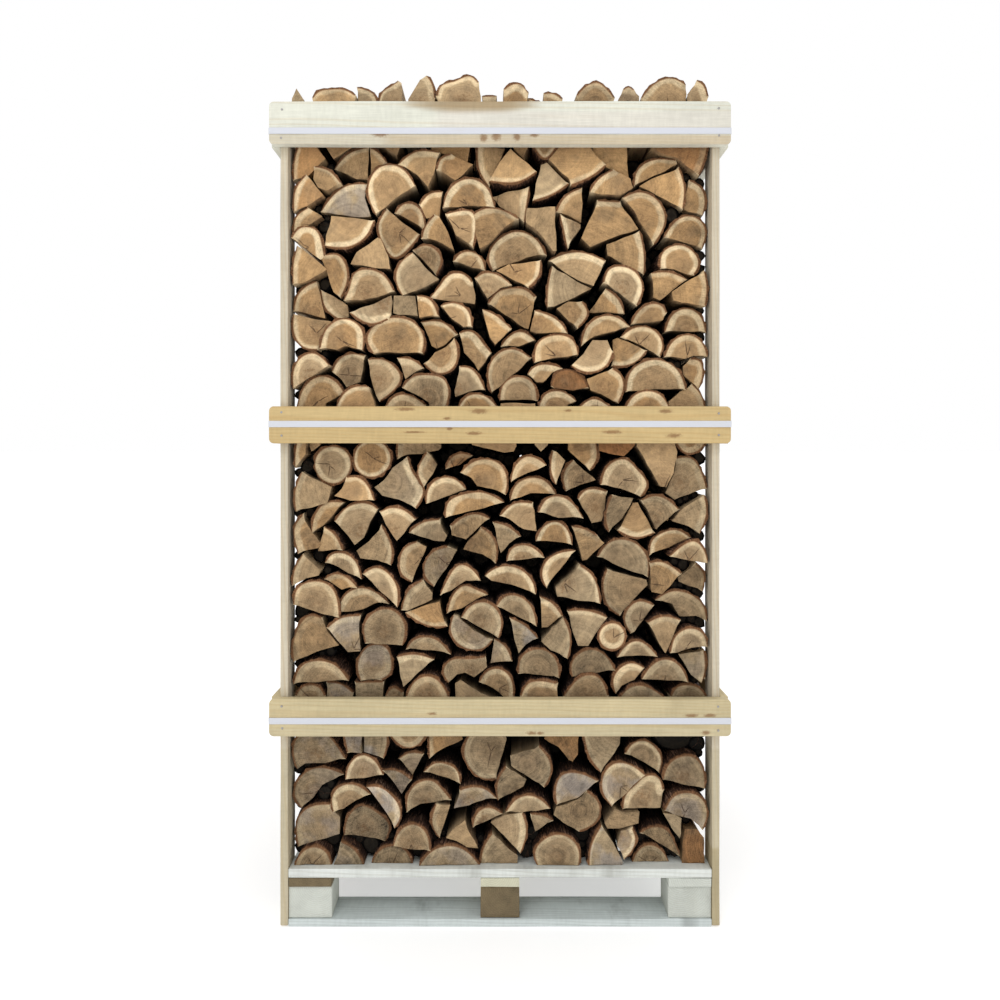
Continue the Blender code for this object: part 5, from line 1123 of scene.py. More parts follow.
class Signal:
    """One socket of a finish. Arithmetic on it adds Math nodes."""

    def __init__(self, finish, socket):
        """Keep the output socket and the finish it belongs to."""
        self.finish = finish
        self.socket = socket

    def operate(self, operation, *values):
        """Return a Math node of this operation on the values."""
        return self.finish.node("ShaderNodeMath", values, operation=operation)

    def __add__(self, other):
        """Return the sum."""
        return self.operate("ADD", self, other)

    def __sub__(self, other):
        """Return the difference."""
        return self.operate("SUBTRACT", self, other)

    def __rsub__(self, other):
        """Return the difference from a plain number."""
        return self.operate("SUBTRACT", other, self)

    def __mul__(self, other):
        """Return the product."""
        return self.operate("MULTIPLY", self, other)

    def __pow__(self, other):
        """Return the power."""
        return self.operate("POWER", self, other)

    def __abs__(self):
        """Return the size without its sign."""
        return self.operate("ABSOLUTE", self)

    __radd__ = __add__
    __rmul__ = __mul__

    def wave(self):
        """Return the sine of this number."""
        return self.operate("SINE", self)

    def fraction(self):
        """Return what is left of this number past its whole part."""
        return self.operate("FRACT", self)

    def largest(self, other):
        """Return the larger of this number and another."""
        return self.operate("MAXIMUM", self, other)

    def step(self, start, end):
        """Return a smooth rise from 0 at start to 1 at end, or a fall where end is the lower."""
        low, high = min(start, end), max(start, end)
        out = (0.0, 1.0) if start < end else (1.0, 0.0)
        values = {"Value": self, "From Min": low, "From Max": high, "To Min": out[0], "To Max": out[1]}
        return self.finish.node("ShaderNodeMapRange", values, interpolation_type="SMOOTHSTEP")


class Finish:
    """A material with one Principled shader, built from signals."""

    def __init__(self, name, **sockets):
        """Start the material, and set the shader's own sockets where they stay the same."""
        self.material = bpy.data.materials.new(name)
        self.material.use_nodes = True
        self.tree = self.material.node_tree
        self.shader = self.tree.nodes["Principled BSDF"]
        for socket, value in sockets.items():
            self.shader.inputs[socket.replace("_", " ")].default_value = value

    def node(self, kind, values=(), output=0, **settings):
        """Add a node with its settings, give its sockets values or links, and return an output."""
        made = self.tree.nodes.new(kind)
        for setting, value in settings.items():
            setattr(made, setting, value)
        pairs = values.items() if isinstance(values, dict) else enumerate(values)
        for key, value in pairs:
            self.put(made.inputs[key], value)
        return Signal(self, made.outputs[output])

    def put(self, socket, value):
        """Link a signal to a socket, or set its plain value."""
        if isinstance(value, Signal):
            self.tree.links.new(value.socket, socket)
        elif socket.type == "RGBA":
            socket.default_value = (*value, 1.0)
        else:
            socket.default_value = value

    def read(self, attribute, output="Vector"):
        """Return an attribute of the surface."""
        return self.node("ShaderNodeAttribute", output=output, attribute_name=attribute)

    def spot(self):
        """Return the place on the surface."""
        return self.node("ShaderNodeTexCoord", output="Object")

    def parts(self, vector):
        """Return a vector's three numbers."""
        outputs = self.node("ShaderNodeSeparateXYZ", [vector]).socket.node.outputs
        return [Signal(self, outputs[axis]) for axis in range(3)]

    def vector(self, x, y, z):
        """Return a vector of three numbers."""
        return self.node("ShaderNodeCombineXYZ", [x, y, z])

    def noise(self, vector, scale=1.0, detail=3.0, roughness=0.55):
        """Return cloud noise around 0, from -0.5 to 0.5."""
        values = {"Vector": vector, "Scale": scale, "Detail": detail, "Roughness": roughness}
        return self.node("ShaderNodeTexNoise", values) - 0.5

    def streaks(self, place, waves, detail=3.0, roughness=0.55, shift=0.0):
        """Return cloud noise drawn out by as many waves a metre as given for each axis of a place,
        shifted along its second axis."""
        x, y, z = (part * wave for part, wave in zip(place, waves))
        return self.noise(self.vector(x, y + shift, z), 1.0, detail, roughness)

    def blend(self, share, first, second):
        """Return the first colour, or the second where the share is 1."""
        return self.node("ShaderNodeMix", {0: share, 6: first, 7: second}, output=2, data_type="RGBA")

    def scaled(self, vector, value):
        """Return a vector times a number, such as a colour made lighter or darker."""
        return self.node("ShaderNodeVectorMath", {0: vector, 3: value}, operation="SCALE")

    def length(self, x, z):
        """Return the length of the flat vector (x, z)."""
        return (x * x + z * z) ** 0.5

    def done(self, colour, roughness, height=None, depth=0.001):
        """Link the colour, the roughness and a bump as deep as given, and return the material."""
        self.put(self.shader.inputs["Base Color"], colour)
        self.put(self.shader.inputs["Roughness"], roughness)
        if height is not None:
            bump = self.node("ShaderNodeBump", {"Height": height, "Distance": depth, "Strength": 1.0})
            self.put(self.shader.inputs["Normal"], bump)
        return self.material


def oak_end(look):
    """Sawn oak end grain. Round the pith run rings, with rays and a few drying cracks out from it;
    the heartwood is tan, mottled and darker at the pith, and inside the bark is cream sapwood.
    The saw has left faint parallel lines."""
    oak = Finish("oak_end_grain", Specular_IOR_Level=0.25)
    x, _, z = oak.parts(oak.read("pith"))
    bright, warm, seed = oak.parts(oak.read("tone"))
    rim = oak.read("rim", "Fac")
    deep = oak.read("deep", "Fac")
    spot = oak.vector(x, seed * 7, z)
    wander = oak.noise(spot, 22, 2)
    radius = oak.length(x, z) + wander * 0.012
    turn = oak.node("ShaderNodeMath", [z, x], operation="ARCTAN2")
    rings = oak.noise(oak.vector(radius * 260, seed * 31, 0.0), 1.0, 3, 0.7)
    bands = oak.noise(oak.vector(radius * 95, seed * 17, 0.0), 1.0, 2, 0.6)
    rays = oak.noise(oak.vector(turn * 7, radius * 6, seed * 13), 2.2, 5, 0.65)
    mottle = oak.noise(spot, 46, 6, 0.7)
    cloud = oak.noise(spot, 15, 3)
    grit = oak.noise(spot, 520, 2, 0.7)
    slant = seed * 40
    upright = (slant + math.pi / 2).wave()
    stroke = x * slant.wave() + z * upright
    along_cut = z * slant.wave() - x * upright
    saw = oak.noise(oak.vector(stroke * 420, along_cut * 16, seed * 5), 1.0, 2, 0.6)
    # Heartwood, darker at its core, and sapwood, fainter on reddish and on dark logs
    heart = oak.blend((warm + 0.5).step(0.0, 1.0), look.grey_heart, look.tan_heart)
    heart = oak.blend(warm.step(0.5, 0.95), heart, look.orange_heart)
    heart = oak.blend(radius.step(0.075, 0.005) * (cloud + 0.6) * 0.7, heart, look.core)
    sap_edge = rim + wander * 0.02 - (seed * 23).fraction() * 0.008
    sap = sap_edge.step(0.0125, 0.005) * (1 - warm.step(0.6, 0.95)) * bright.step(-1.6, -0.5)
    colour = oak.blend(sap * ((seed * 71).fraction() * 0.5 + 0.45), heart, look.sapwood)
    # Stains, blotches on some logs and blue-grey patches on the greyest ones
    colour = oak.blend(cloud.step(0.0, 0.2) * 0.45, colour, look.stain)
    blotch = (oak.noise(spot, 105, 5, 0.75) - radius * 5).step(-0.12, 0.06)
    blotch = blotch * (seed * 37).fraction().step(0.3, 0.6)
    colour = oak.blend(blotch * 0.7, colour, look.core)
    bluish = warm.step(-0.55, -0.8) * cloud.step(-0.1, 0.08)
    colour = oak.blend(bluish * 0.5, colour, look.weathered)
    colour = oak.blend(rim.step(0.0032, 0.0006) * 0.75, colour, look.inner_bark)
    # Cracks run out from the pith on some logs: each has its angle and how far it reaches
    cracks = seed * 0
    for turns, reach in ((17.0, 0.05), (43.0, 0.035), (91.0, 0.025)):
        angle = seed * turns
        cosine = (angle + math.pi / 2).wave()
        across = abs(x * angle.wave() - z * cosine + wander * 0.01 + mottle * 0.004)
        along = x * cosine + z * angle.wave()
        open_part = along.step(0.0, 0.004) * along.step(reach, reach * 0.4)
        cracks = cracks.largest(across.step(0.0013, 0.0003) * open_part)
    cracks = cracks * (seed * 57).fraction().step(0.62, 0.68)
    grain = rings * 0.6 + bands * 0.55 + rays * 0.4 + mottle * 1.4 + grit * 0.9 + saw * 0.5
    # Painted shade: the deep value darkens ends inside the stack and on billets, and the brightness of low
    # logs carries painted shade too
    shade = (1 + bright * 0.27 + grain) * (1 - deep * 0.8)
    colour = oak.blend(cracks * 0.8, oak.scaled(colour, shade), look.crack)
    height = rings * 0.3 + rays * 0.3 + mottle * 0.6 + grit * 0.5 + saw * 0.6 - cracks * 1.5
    return oak.done(colour, 0.82 + mottle * 0.15, height, 0.0014)


def oak_split(look):
    """The torn long grain of a split side: streaks along the log, splinters and grey weathering,
    paler next to the bark, and darker deep inside the stack, which is painted shade."""
    oak = Finish("oak_split_side", Specular_IOR_Level=0.25)
    place = oak.parts(oak.read("pith"))
    bright, warm, seed = oak.parts(oak.read("tone"))
    deep = oak.read("deep", "Fac")
    fibre = oak.streaks(place, (150, 7, 150), 4, 0.6, seed * 9)
    band = oak.streaks(place, (34, 3, 34), shift=seed * 5)
    fleck = oak.streaks(place, (300, 40, 300))
    ring = oak.noise(oak.vector(oak.length(place[0], place[2]) * 190, seed * 20, 0.0), 1.0, 2)
    colour = oak.blend((warm + 0.5).step(0.0, 1.0), look.grey_heart, look.split_tan)
    colour = oak.blend(band.step(-0.05, 0.25), colour, look.split_dark)
    colour = oak.blend(oak.read("rim", "Fac").step(0.018, 0.006) * 0.6, colour, look.sapwood)
    # Painted shade: split sides darken with the deep value inside the stack, and the brightness of low logs
    # carries painted shade too
    shade = (0.97 + bright * 0.2 + fibre * 0.8 + fleck * 0.5 + ring * 0.3) * (1 - deep ** 0.6 * 0.88)
    return oak.done(oak.scaled(colour, shade), 0.86, fibre + fleck * 0.4 + band, 0.003)


def oak_bark(look):
    """Ridged oak bark: long broken plates between furrows that run along the log, red-brown in
    the cuts and where it is sawn, greyer on the ridges, and near black deep inside the stack,
    which is painted shade.
    The plates are the cells of a Voronoi pattern, bent by noise."""
    oak = Finish("oak_bark", Specular_IOR_Level=0.2)
    x, y, z = place = oak.parts(oak.read("pith"))
    bright, _, seed = oak.parts(oak.read("tone"))
    deep = oak.read("deep", "Fac")
    cell = oak.vector(x * 120, y * 17 + seed * 9, z * 120)
    bend = oak.node("ShaderNodeTexNoise", {"Vector": cell, "Scale": 0.7, "Detail": 5.0}, output="Color")
    bent = oak.node("ShaderNodeVectorMath", [cell, oak.scaled(bend, 2.6)], operation="ADD")
    plates = oak.node("ShaderNodeTexVoronoi", {"Vector": bent, "Scale": 1.0}, feature="DISTANCE_TO_EDGE")
    furrow = oak.streaks(place, (150, 11, 150), 5, 0.65, seed * 4)
    ridge = plates.step(0.0, 0.34) * furrow.step(-0.22, 0.04)
    rough = oak.streaks(place, (260, 120, 260), 5, 0.7)
    cloud = oak.streaks(place, (20, 12, 20), shift=seed * 3)
    colour = oak.blend(ridge, look.bark_furrow, look.bark_ridge)
    colour = oak.blend((cloud + rough * 0.5).step(-0.02, 0.2) * ridge * 0.7, colour, look.bark_grey)
    colour = oak.blend(oak.read("rim", "Fac").step(0.011, 0.002) * 0.6, colour, look.inner_bark)
    # Painted shade: bark darkens to near black with the deep value inside the stack, and the brightness of
    # low logs carries painted shade too
    shade = (1 + rough * 1.1 + cloud * 0.8 + bright * 0.1) * (1 - deep ** 0.45 * 0.92)
    return oak.done(oak.scaled(colour, shade), 0.9, ridge + rough * 0.8, 0.004)


def between(value, low, high, soft):
    """Return a mask that is 1 between two values and fades past them."""
    return value.step(low - soft, low + soft) * value.step(high + soft, high - soft)


def pine(name, colour, dark, marks=(), washes=(), grime=0.3, contrast=1.0, front_y=MARKED_Y):
    """Sawn pine. Rings lie round a trunk's heart that runs a little askew through the board, which
    gives straight and arched grain; knots are scattered, with a ring of darker wood. What lies in
    front of front_y has marks at given places (x, z, half width, half height) and washes of
    another colour, as (low x, high x, low z, high z, colour, share)."""
    wood = Finish(name, Specular_IOR_Level=0.3)
    along, across, through = wood.parts(wood.read("heart"))
    grain = wood.parts(wood.read("grain"))
    first, _, seed = wood.parts(wood.read("tone"))
    cell = wood.vector(grain[0] * 3.1, grain[1] * 7.5, seed * 20)
    knots = {"values": {"Vector": cell, "Scale": 1.0, "Randomness": 0.9}, "feature": "F1"}
    knot_distance = wood.node("ShaderNodeTexVoronoi", **knots)
    knot_kind = wood.parts(wood.node("ShaderNodeTexVoronoi", output="Color", **knots))[0]
    pick = knot_kind.step(0.62, 0.66)
    knot_near = knot_distance.step(0.16, 0.02) * pick
    knot = knot_distance.step(0.062, 0.045) * pick
    slope = along * 0.02 + first * 0.004
    long_noise = wood.streaks(grain, (3, 9, 9), 2)
    radius = wood.length(across + slope, through) + long_noise * 0.006 + knot_near * 0.004
    late = (radius * (TAU / YEAR_RING)).wave().step(0.1, 1.0)
    fine = wood.streaks(grain, (14, 420, 420), 3, 0.6)
    cloud = wood.streaks(grain, (5, 14, 14), 4, 0.6)
    scratch = wood.streaks(grain, (130, 26, 26), 4)
    smudge = wood.noise(wood.vector(grain[0] * 9, grain[1] * 5, seed * 11), 1.0, 4, 0.62)
    tinted = wood.blend(late * 0.28 + knot_near * 0.25, colour, dark)
    tinted = wood.blend(knot * 0.75, tinted, KNOT)
    tinted = wood.blend(smudge.step(0.04, 0.3) * grime, tinted, tuple(0.55 * value for value in dark))
    # Washes and marks, in front only
    x, y, z = wood.parts(wood.spot())
    front = y.step(front_y + 0.001, front_y - 0.001)
    # Washes of another colour; on the top front rail some are painted shade under its upper edge
    for low_x, high_x, low_z, high_z, tint, share in washes:
        wash = between(x + cloud * 0.05, low_x, high_x, 0.03)
        wash = wash * between(z + cloud * 0.008, low_z, high_z, 0.005)
        tinted = wood.blend(wash * front * share, tinted, tint)
    if marks:
        speckle = wood.noise(wood.vector(x * 190, y, z * 330), 1.0, 4, 0.7)
        spots = front * 0
        for mark_x, mark_z, half_x, half_z in marks:
            off = wood.length((x - mark_x) * (1 / half_x), (z - mark_z) * (1 / half_z))
            spots = spots.largest((off + speckle * 1.8).step(1.3, 0.4))
        tinted = wood.blend(spots * front * 0.8, tinted, MARK)
    shade = 1 + first * 0.05 + (fine * 0.35 + cloud * 0.36 + scratch * 0.2) * contrast
    height = fine * 0.7 + late * 0.25 + scratch * 0.5 - knot * 0.5
    return wood.done(wood.scaled(tinted, shade), 0.72 + fine * 0.15, height, 0.0009)


def strap_finish(look):
    """White strapping tape with a fine pressed diamond pattern and a faint blue cast. The pattern
    is the product of two waves that cross."""
    tape = Finish("strapping_tape", Specular_IOR_Level=0.45)
    x, y, z = tape.parts(tape.spot())
    round_way = (x + y) * (TAU / TAPE_DIAMOND)
    up = z * (TAU / TAPE_DIAMOND)
    diamonds = (round_way + up).wave() * (round_way - up).wave()
    dust = tape.noise(tape.vector(x * 14, y * 14, z * 90), 1.0, 4)
    colour = tape.blend(dust.step(0.0, 0.35) * 0.25, look.strap, DUST)
    return tape.done(colour, 0.42 + dust * 0.2, diamonds, 0.00012)


def nail_finish():
    """Zinc-coated steel nail heads, dulled and lightly rusted."""
    steel = Finish("zinc_nails", Metallic=0.7)
    rust = steel.noise(steel.spot(), 400, 4)
    return steel.done(steel.blend(rust.step(0.0, 0.2), ZINC, RUST), 0.5 + rust * 0.3)


def floor_finish(look):
    """A plain pale studio floor with the faintest unevenness."""
    floor = Finish("studio_floor", Specular_IOR_Level=0.2, Emission_Strength=0.4)
    floor.put(floor.shader.inputs["Emission Color"], (1.0, 1.0, 1.0))
    cloud = floor.noise(floor.spot(), 0.8, 2)
    return floor.done(floor.scaled(look.floor, 1 + cloud * 0.02), 0.8)


# Sizes and colours that a user may change

def colour_of(name, what, value):
    """Return a colour property."""
    return bpy.props.FloatVectorProperty(
        name=name, description=what, default=value, size=3, min=0, max=1, subtype="COLOR")


class FirewoodLook(bpy.types.PropertyGroup):
    """Colours of the oak, the tape and the floor."""

    tan_heart: colour_of("Tan heartwood", "Most log ends", (0.455, 0.275, 0.122))
    grey_heart: colour_of("Grey heartwood", "Weathered log ends", (0.385, 0.285, 0.167))
    orange_heart: colour_of("Orange heartwood", "Fresh, reddish log ends", (0.33, 0.15, 0.055))
    core: colour_of("Core", "Wood close to the pith", (0.21, 0.12, 0.055))
    sapwood: colour_of("Sapwood", "Cream band inside the bark", (0.72, 0.565, 0.35))
    inner_bark: colour_of("Inner bark", "Sawn edge of the bark", (0.27, 0.13, 0.055))
    stain: colour_of("Stain", "Grey-brown clouds on the ends", (0.21, 0.145, 0.08))
    weathered: colour_of("Weathered wood", "Blue-grey patches of a few ends", (0.33, 0.315, 0.31))
    crack: colour_of("Cracks", "Drying cracks and the bark's edge", (0.07, 0.035, 0.02))
    split_tan: colour_of("Split side", "Torn long grain", (0.36, 0.23, 0.115))
    split_dark: colour_of("Dark grain", "Dark bands of the long grain", (0.20, 0.115, 0.06))
    bark_furrow: colour_of("Bark furrows", "Deep cuts of the bark", (0.045, 0.019, 0.011))
    bark_ridge: colour_of("Bark ridges", "Raised bark", (0.25, 0.122, 0.07))
    bark_grey: colour_of("Bark lichen", "Grey patches of the bark", (0.30, 0.215, 0.155))
    strap: colour_of("Strap", "Strapping tape", (0.60, 0.615, 0.665))
    floor: colour_of("Floor", "Studio floor", (0.74, 0.74, 0.74))


class CrateLook(bpy.types.PropertyGroup):
    """Colours of the crate's boards, and sizes of its small fittings."""

    top_rail: colour_of("Top rail", "Cream sawn pine", (0.655, 0.655, 0.565))
    middle_rail: colour_of("Middle rail", "Honey pine", (0.53, 0.392, 0.187))
    lower_rail: colour_of("Lower rail", "Beige pine", (0.53, 0.447, 0.268))
    post: colour_of("Posts", "Pale pine", (0.55, 0.49, 0.375))
    pale_block: colour_of("Pale pallet wood", "Grey-white pallet wood", (0.55, 0.575, 0.525))
    brown_block: colour_of("Brown pallet wood", "Brown pallet wood", (0.16, 0.12, 0.064))
    bottom: colour_of("Bottom boards", "Blue-grey pallet boards", (0.55, 0.60, 0.59))
    stringer: colour_of("Middle stringer", "Cream pallet wood", (0.56, 0.55, 0.42))
    deck: colour_of("Deck", "Deck boards", (0.665, 0.69, 0.655))
    nail_radius: bpy.props.FloatProperty(
        name="Nail head", description="Radius of a nail's head",
        default=0.003, unit="LENGTH", min=0.001)
    edge: bpy.props.FloatProperty(
        name="Board edge", description="Rounding of a board's edges",
        default=0.0016, unit="LENGTH", min=0.0)


# Marks on the front rails: (x, z, half width, half height) in metres
TOP_MARKS = (
    (-0.2995, 1.9985, 0.024, 0.009), (-0.041, 1.988, 0.010, 0.011), (-0.009, 1.992, 0.012, 0.013),
    (0.042, 1.990, 0.009, 0.011), (0.086, 1.994, 0.012, 0.005),
)
MIDDLE_MARKS = (
    (-0.2375, 1.3095, 0.026, 0.005), (-0.053, 1.304, 0.022, 0.007), (-0.1325, 1.286, 0.010, 0.004),
    (-0.126, 1.261, 0.008, 0.005), (-0.216, 1.2515, 0.028, 0.003), (-0.064, 1.249, 0.020, 0.005),
    (0.415, 1.304, 0.018, 0.006), (0.435, 1.243, 0.020, 0.006), (0.28, 1.252, 0.024, 0.005),
    (0.17, 1.306, 0.010, 0.004),
)
LOWER_MARKS = (
    (-0.36, 0.525, 0.012, 0.005), (0.08, 0.499, 0.014, 0.005), (0.10, 0.499, 0.010, 0.004),
    (0.35, 0.525, 0.010, 0.004), (0.48, 0.543, 0.018, 0.005), (0.525, 0.543, 0.016, 0.005),
    (0.515, 0.500, 0.012, 0.006), (-0.17, 0.548, 0.012, 0.004),
)

# Washes on the top front rail: painted shade along its upper edge in one place, fading
# downward, and a darker lower edge
TOP_WASHES = (
    # The first three washes are painted shade under the upper edge, stacked so that it fades downward and
    # towards its ends
    (-0.235, 0.085, 2.062, 2.10, (0.33, 0.23, 0.115), 0.6),
    (-0.19, 0.05, 2.054, 2.10, (0.33, 0.23, 0.115), 0.55),
    (-0.15, 0.02, 2.048, 2.10, (0.33, 0.23, 0.115), 0.4),
    (-0.16, 0.60, 2.012, 2.054, (0.62, 0.555, 0.50), 0.4),
    (-0.30, 0.60, 1.95, 1.996, (0.46, 0.33, 0.175), 0.6),
    (-0.60, -0.30, 1.95, 1.996, (0.52, 0.43, 0.29), 0.5),
)
POST_WASHES = (
    (-0.60, 0.60, -0.20, 0.45, (0.40, 0.34, 0.20), 0.45),
    (0.50, 0.60, -0.20, 0.20, (0.32, 0.25, 0.12), 0.5),
)
LOWER_WASHES = ((-0.60, 0.60, 0.48, 0.512, (0.52, 0.47, 0.33), 0.3),)


class Palette:
    """A property group's settings as plain numbers and tuples."""

    def __init__(self, group):
        """Copy each setting of the group."""
        for name in group.bl_rna.properties.keys():
            value = getattr(group, name)
            plain = isinstance(value, str) or not hasattr(value, "__len__")
            setattr(self, name, value if plain else tuple(value))


def nodes_named(*starts):
    """Return the names of the frame's nodes that start so, in order."""
    return sorted(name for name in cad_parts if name.startswith(starts))


def dress_boards(names, finish, slot_name, axis, seed, **shape):
    """Replace each board node by a sawn board of the same size, along an axis."""
    for number, name in enumerate(names):
        heap = Heap()
        low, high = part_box(name)
        Board(low, high, axis, seed + number).build(heap, **shape)
        attach(heap.make(f"{name}_board", [finish]), slot_name, name)


class CRATE_OT_pallet(bpy.types.Operator):
    """Saw the pallet: bottom boards, blocks, stringers and deck boards"""

    bl_idname = "crate.pallet"
    bl_label = "Pallet"

    def execute(self, context):
        """Saw each group of boards from its own wood."""
        look = Palette(context.scene.crate_look)
        pale = pine("pale_pallet_pine", look.pale_block, (0.42, 0.40, 0.30), grime=0.35)
        bottom = pine("bottom_pallet_pine", look.bottom, (0.33, 0.35, 0.34), grime=0.7)
        cream = pine("cream_pallet_pine", look.stringer, (0.40, 0.35, 0.22), grime=0.4)
        brown = pine("brown_pallet_pine", look.brown_block, (0.09, 0.065, 0.035), grime=0.9, contrast=3.0)
        deck = pine("deck_pine", look.deck, (0.42, 0.41, 0.35), grime=0.45)
        blocks = nodes_named("pallet_block")
        middle = [name for name in blocks if name.endswith("middle")]
        sides = [name for name in blocks if name not in middle]
        for names, wood, slot_name, axis, seed, step in (
            (nodes_named("pallet_bottom_board"), bottom, "pallet_pine", 0, 100, BOARD_STEP),
            (sides, pale, "pallet_pine", 1, 110, BLOCK_STEP),
            (middle, brown, "pallet_pine", 1, 120, BLOCK_STEP),
            (["pallet_stringer_left"], brown, "pallet_pine", 1, 130, BOARD_STEP),
            (nodes_named("pallet_stringer_m"), cream, "pallet_pine", 1, 131, BOARD_STEP),
            (nodes_named("pallet_stringer_r"), pale, "pallet_pine", 1, 132, BOARD_STEP),
            (nodes_named("pallet_deck_board"), deck, "deck_pine", 0, 140, BOARD_STEP),
        ):
            dress_boards(names, wood, slot_name, axis, seed, step=step, edge=look.edge)
        return {"FINISHED"}


class CRATE_OT_posts(bpy.types.Operator):
    """Saw the six posts"""

    bl_idname = "crate.posts"
    bl_label = "Posts"

    def execute(self, context):
        """Saw the posts from one wood, tanned and darker near the ground."""
        look = Palette(context.scene.crate_look)
        dark = (0.45, 0.32, 0.17)
        finish = pine("post_pine", look.post, dark, washes=POST_WASHES, grime=0.25, front_y=ALL_Y)
        dress_boards(nodes_named("post_"), finish, "post_pine", 2, 200, edge=look.edge)
        return {"FINISHED"}


class CRATE_OT_rails(bpy.types.Operator):
    """Saw the three rings of rails, each ring of its own wood"""

    bl_idname = "crate.rails"
    bl_label = "Rails"

    def execute(self, context):
        """Saw each ring: the front and rear rails have rounded corners, the others are square."""
        look = Palette(context.scene.crate_look)
        woods = {
            "top": (look.top_rail, (0.56, 0.46, 0.30), TOP_MARKS, TOP_WASHES, 0.12),
            "middle": (look.middle_rail, (0.44, 0.27, 0.10), MIDDLE_MARKS, (), 0.1),
            "lower": (look.lower_rail, (0.44, 0.31, 0.15), LOWER_MARKS, LOWER_WASHES, 0.18),
        }
        for number, (level, (colour, *rest)) in enumerate(woods.items()):
            slot_name = f"{level}_rail_pine"
            finish = pine(slot_name, colour, *rest)
            ends = nodes_named(f"rail_{level}_front", f"rail_{level}_rear")
            dress_boards(ends, finish, slot_name, 0, 300 + 10 * number, corner=RAIL_CORNER, edge=look.edge)
            sides = nodes_named(f"rail_{level}_left", f"rail_{level}_right")
            dress_boards(sides, finish, slot_name, 1, 305 + 10 * number, edge=look.edge)
        return {"FINISHED"}


class CRATE_OT_straps(bpy.types.Operator):
    """Draw the three straps tight around the rails"""

    bl_idname = "crate.straps"
    bl_label = "Straps"

    def execute(self, context):
        """Each strap is a flat oval section carried round a rectangle with rounded corners."""
        finish = strap_finish(context.scene.firewood_look)
        for level in ("top", "middle", "lower"):
            low, high = (np.array(corner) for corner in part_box(f"strap_{level}"))
            half = (high - low) / 2
            half[:2] = high[:2] - STRAP_THICK / 2
            path, out = rounded_loop(half[0], half[1], STRAP_CORNER, STRAP_STEPS)
            turns = np.linspace(0, TAU, STRAP_SIDES, endpoint=False)
            side = np.sign(np.cos(turns)) * np.abs(np.cos(turns)) ** STRAP_SQUARE * STRAP_THICK / 2
            rise = np.sign(np.sin(turns)) * np.abs(np.sin(turns)) ** STRAP_SQUARE * half[2]
            points = np.zeros((len(path), STRAP_SIDES, 3))
            points[..., :2] = path[:, None] + out[:, None] * side[None, :, None]
            points[..., 2] = (low[2] + high[2]) / 2 + rise
            row, column = np.meshgrid(np.arange(len(path)), np.arange(STRAP_SIDES), indexing="ij")
            after_row, after_column = (row + 1) % len(path), (column + 1) % STRAP_SIDES
            corners = ((row, column), (after_row, column), (after_row, after_column), (row, after_column))
            faces = np.stack([ring * STRAP_SIDES + place for ring, place in corners], axis=-1)
            faces = faces.reshape(-1, 4)
            heap = Heap()
            heap.add(points.reshape(-1, 3), [faces], np.zeros(len(faces), int))
            attach(heap.make(f"strap_{level}_tape", [finish]), "strap", f"strap_{level}")
        return {"FINISHED"}


def rounded_loop(half_x, half_y, radius, steps):
    """Return the points and outward directions of a rectangle with round corners, seen from
    above and turning left: each corner is a quarter circle and each side is evenly divided."""
    signs = np.array(((1, 1), (-1, 1), (-1, -1), (1, -1)))
    centres = signs * (half_x - radius, half_y - radius)
    shares = np.linspace(0, 1, steps)[1:-1, None]
    path, out = [], []
    for quarter in range(4):
        angles = np.linspace(0, math.pi / 2, 6) + quarter * math.pi / 2
        ring = np.stack([np.cos(angles), np.sin(angles)], axis=1)
        path.append(centres[quarter] + radius * ring)
        out.append(ring)
        path.append(path[-1][-1] + shares * (centres[(quarter + 1) % 4] - centres[quarter]))
        out.append(np.tile(ring[-1], (len(shares), 1)))
    return np.concatenate(path), np.concatenate(out)


class CRATE_OT_nails(bpy.types.Operator):
    """Drive the nails: two heads where each rail crosses a post"""

    bl_idname = "crate.nails"
    bl_label = "Nails"

    def execute(self, context):
        """A head is a low dome: rings of a circle that fall away towards the rim."""
        radius = context.scene.crate_look.nail_radius
        heap = Heap()
        front_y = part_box("rail_top_front")[0][1]
        side_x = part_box("rail_top_left")[0][0]
        post_low, post_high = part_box("post_front_right")
        post_x, post_y = ((post_low[axis] + post_high[axis]) / 2 for axis in (0, 1))
        seed = 900
        for level in ("top", "middle", "lower"):
            low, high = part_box(f"rail_{level}_front")
            for share in NAIL_SHARES:
                z = low[2] + share * (high[2] - low[2])
                for sign in (-1, 1):
                    for face in (-1, 1):
                        seed += 1
                        self.head(heap, (sign * post_x, face * -front_y, z), (0, face, 0), radius, seed)
                    for y in (-abs(post_y), 0.0, abs(post_y)):
                        seed += 1
                        self.head(heap, (sign * -side_x, y, z), (sign, 0, 0), radius, seed)
        attach(heap.make("nail_heads", [nail_finish()]), "top_rail_pine")
        return {"FINISHED"}

    def head(self, heap, place, direction, radius, seed):
        """Add one nail head to a heap, facing a direction, a little off its place."""
        rng = np.random.default_rng(seed)
        turns = np.linspace(0, TAU, 12, endpoint=False)
        shares = np.array(DOME_SHARES)[:, None, None]
        rises = np.array(DOME_RISES)[:, None, None]
        out = np.array(direction, float)
        aside = np.array([-out[1], out[0], 0.0])
        up = np.array([0.0, 0.0, 1.0])
        ring = np.cos(turns)[:, None] * aside + np.sin(turns)[:, None] * up
        offset = aside * rng.normal(0, 0.0012) + up * rng.normal(0, 0.004)
        points = closed(out * DOME_TOP, [shares * radius * ring + rises * out], out * DOME_RISES[-1])
        quads, fans = grid_faces(len(shares), len(turns))
        heap.add(points + np.array(place) + offset, (quads, fans), np.zeros(len(quads) + len(fans), int))


def oak_finishes(context):
    """Return the three finishes of a log, made once."""
    made = [bpy.data.materials.get(name) for name in ("oak_end_grain", "oak_split_side", "oak_bark")]
    if all(made):
        return made
    look = Palette(context.scene.firewood_look)
    return [oak_end(look), oak_split(look), oak_bark(look)]


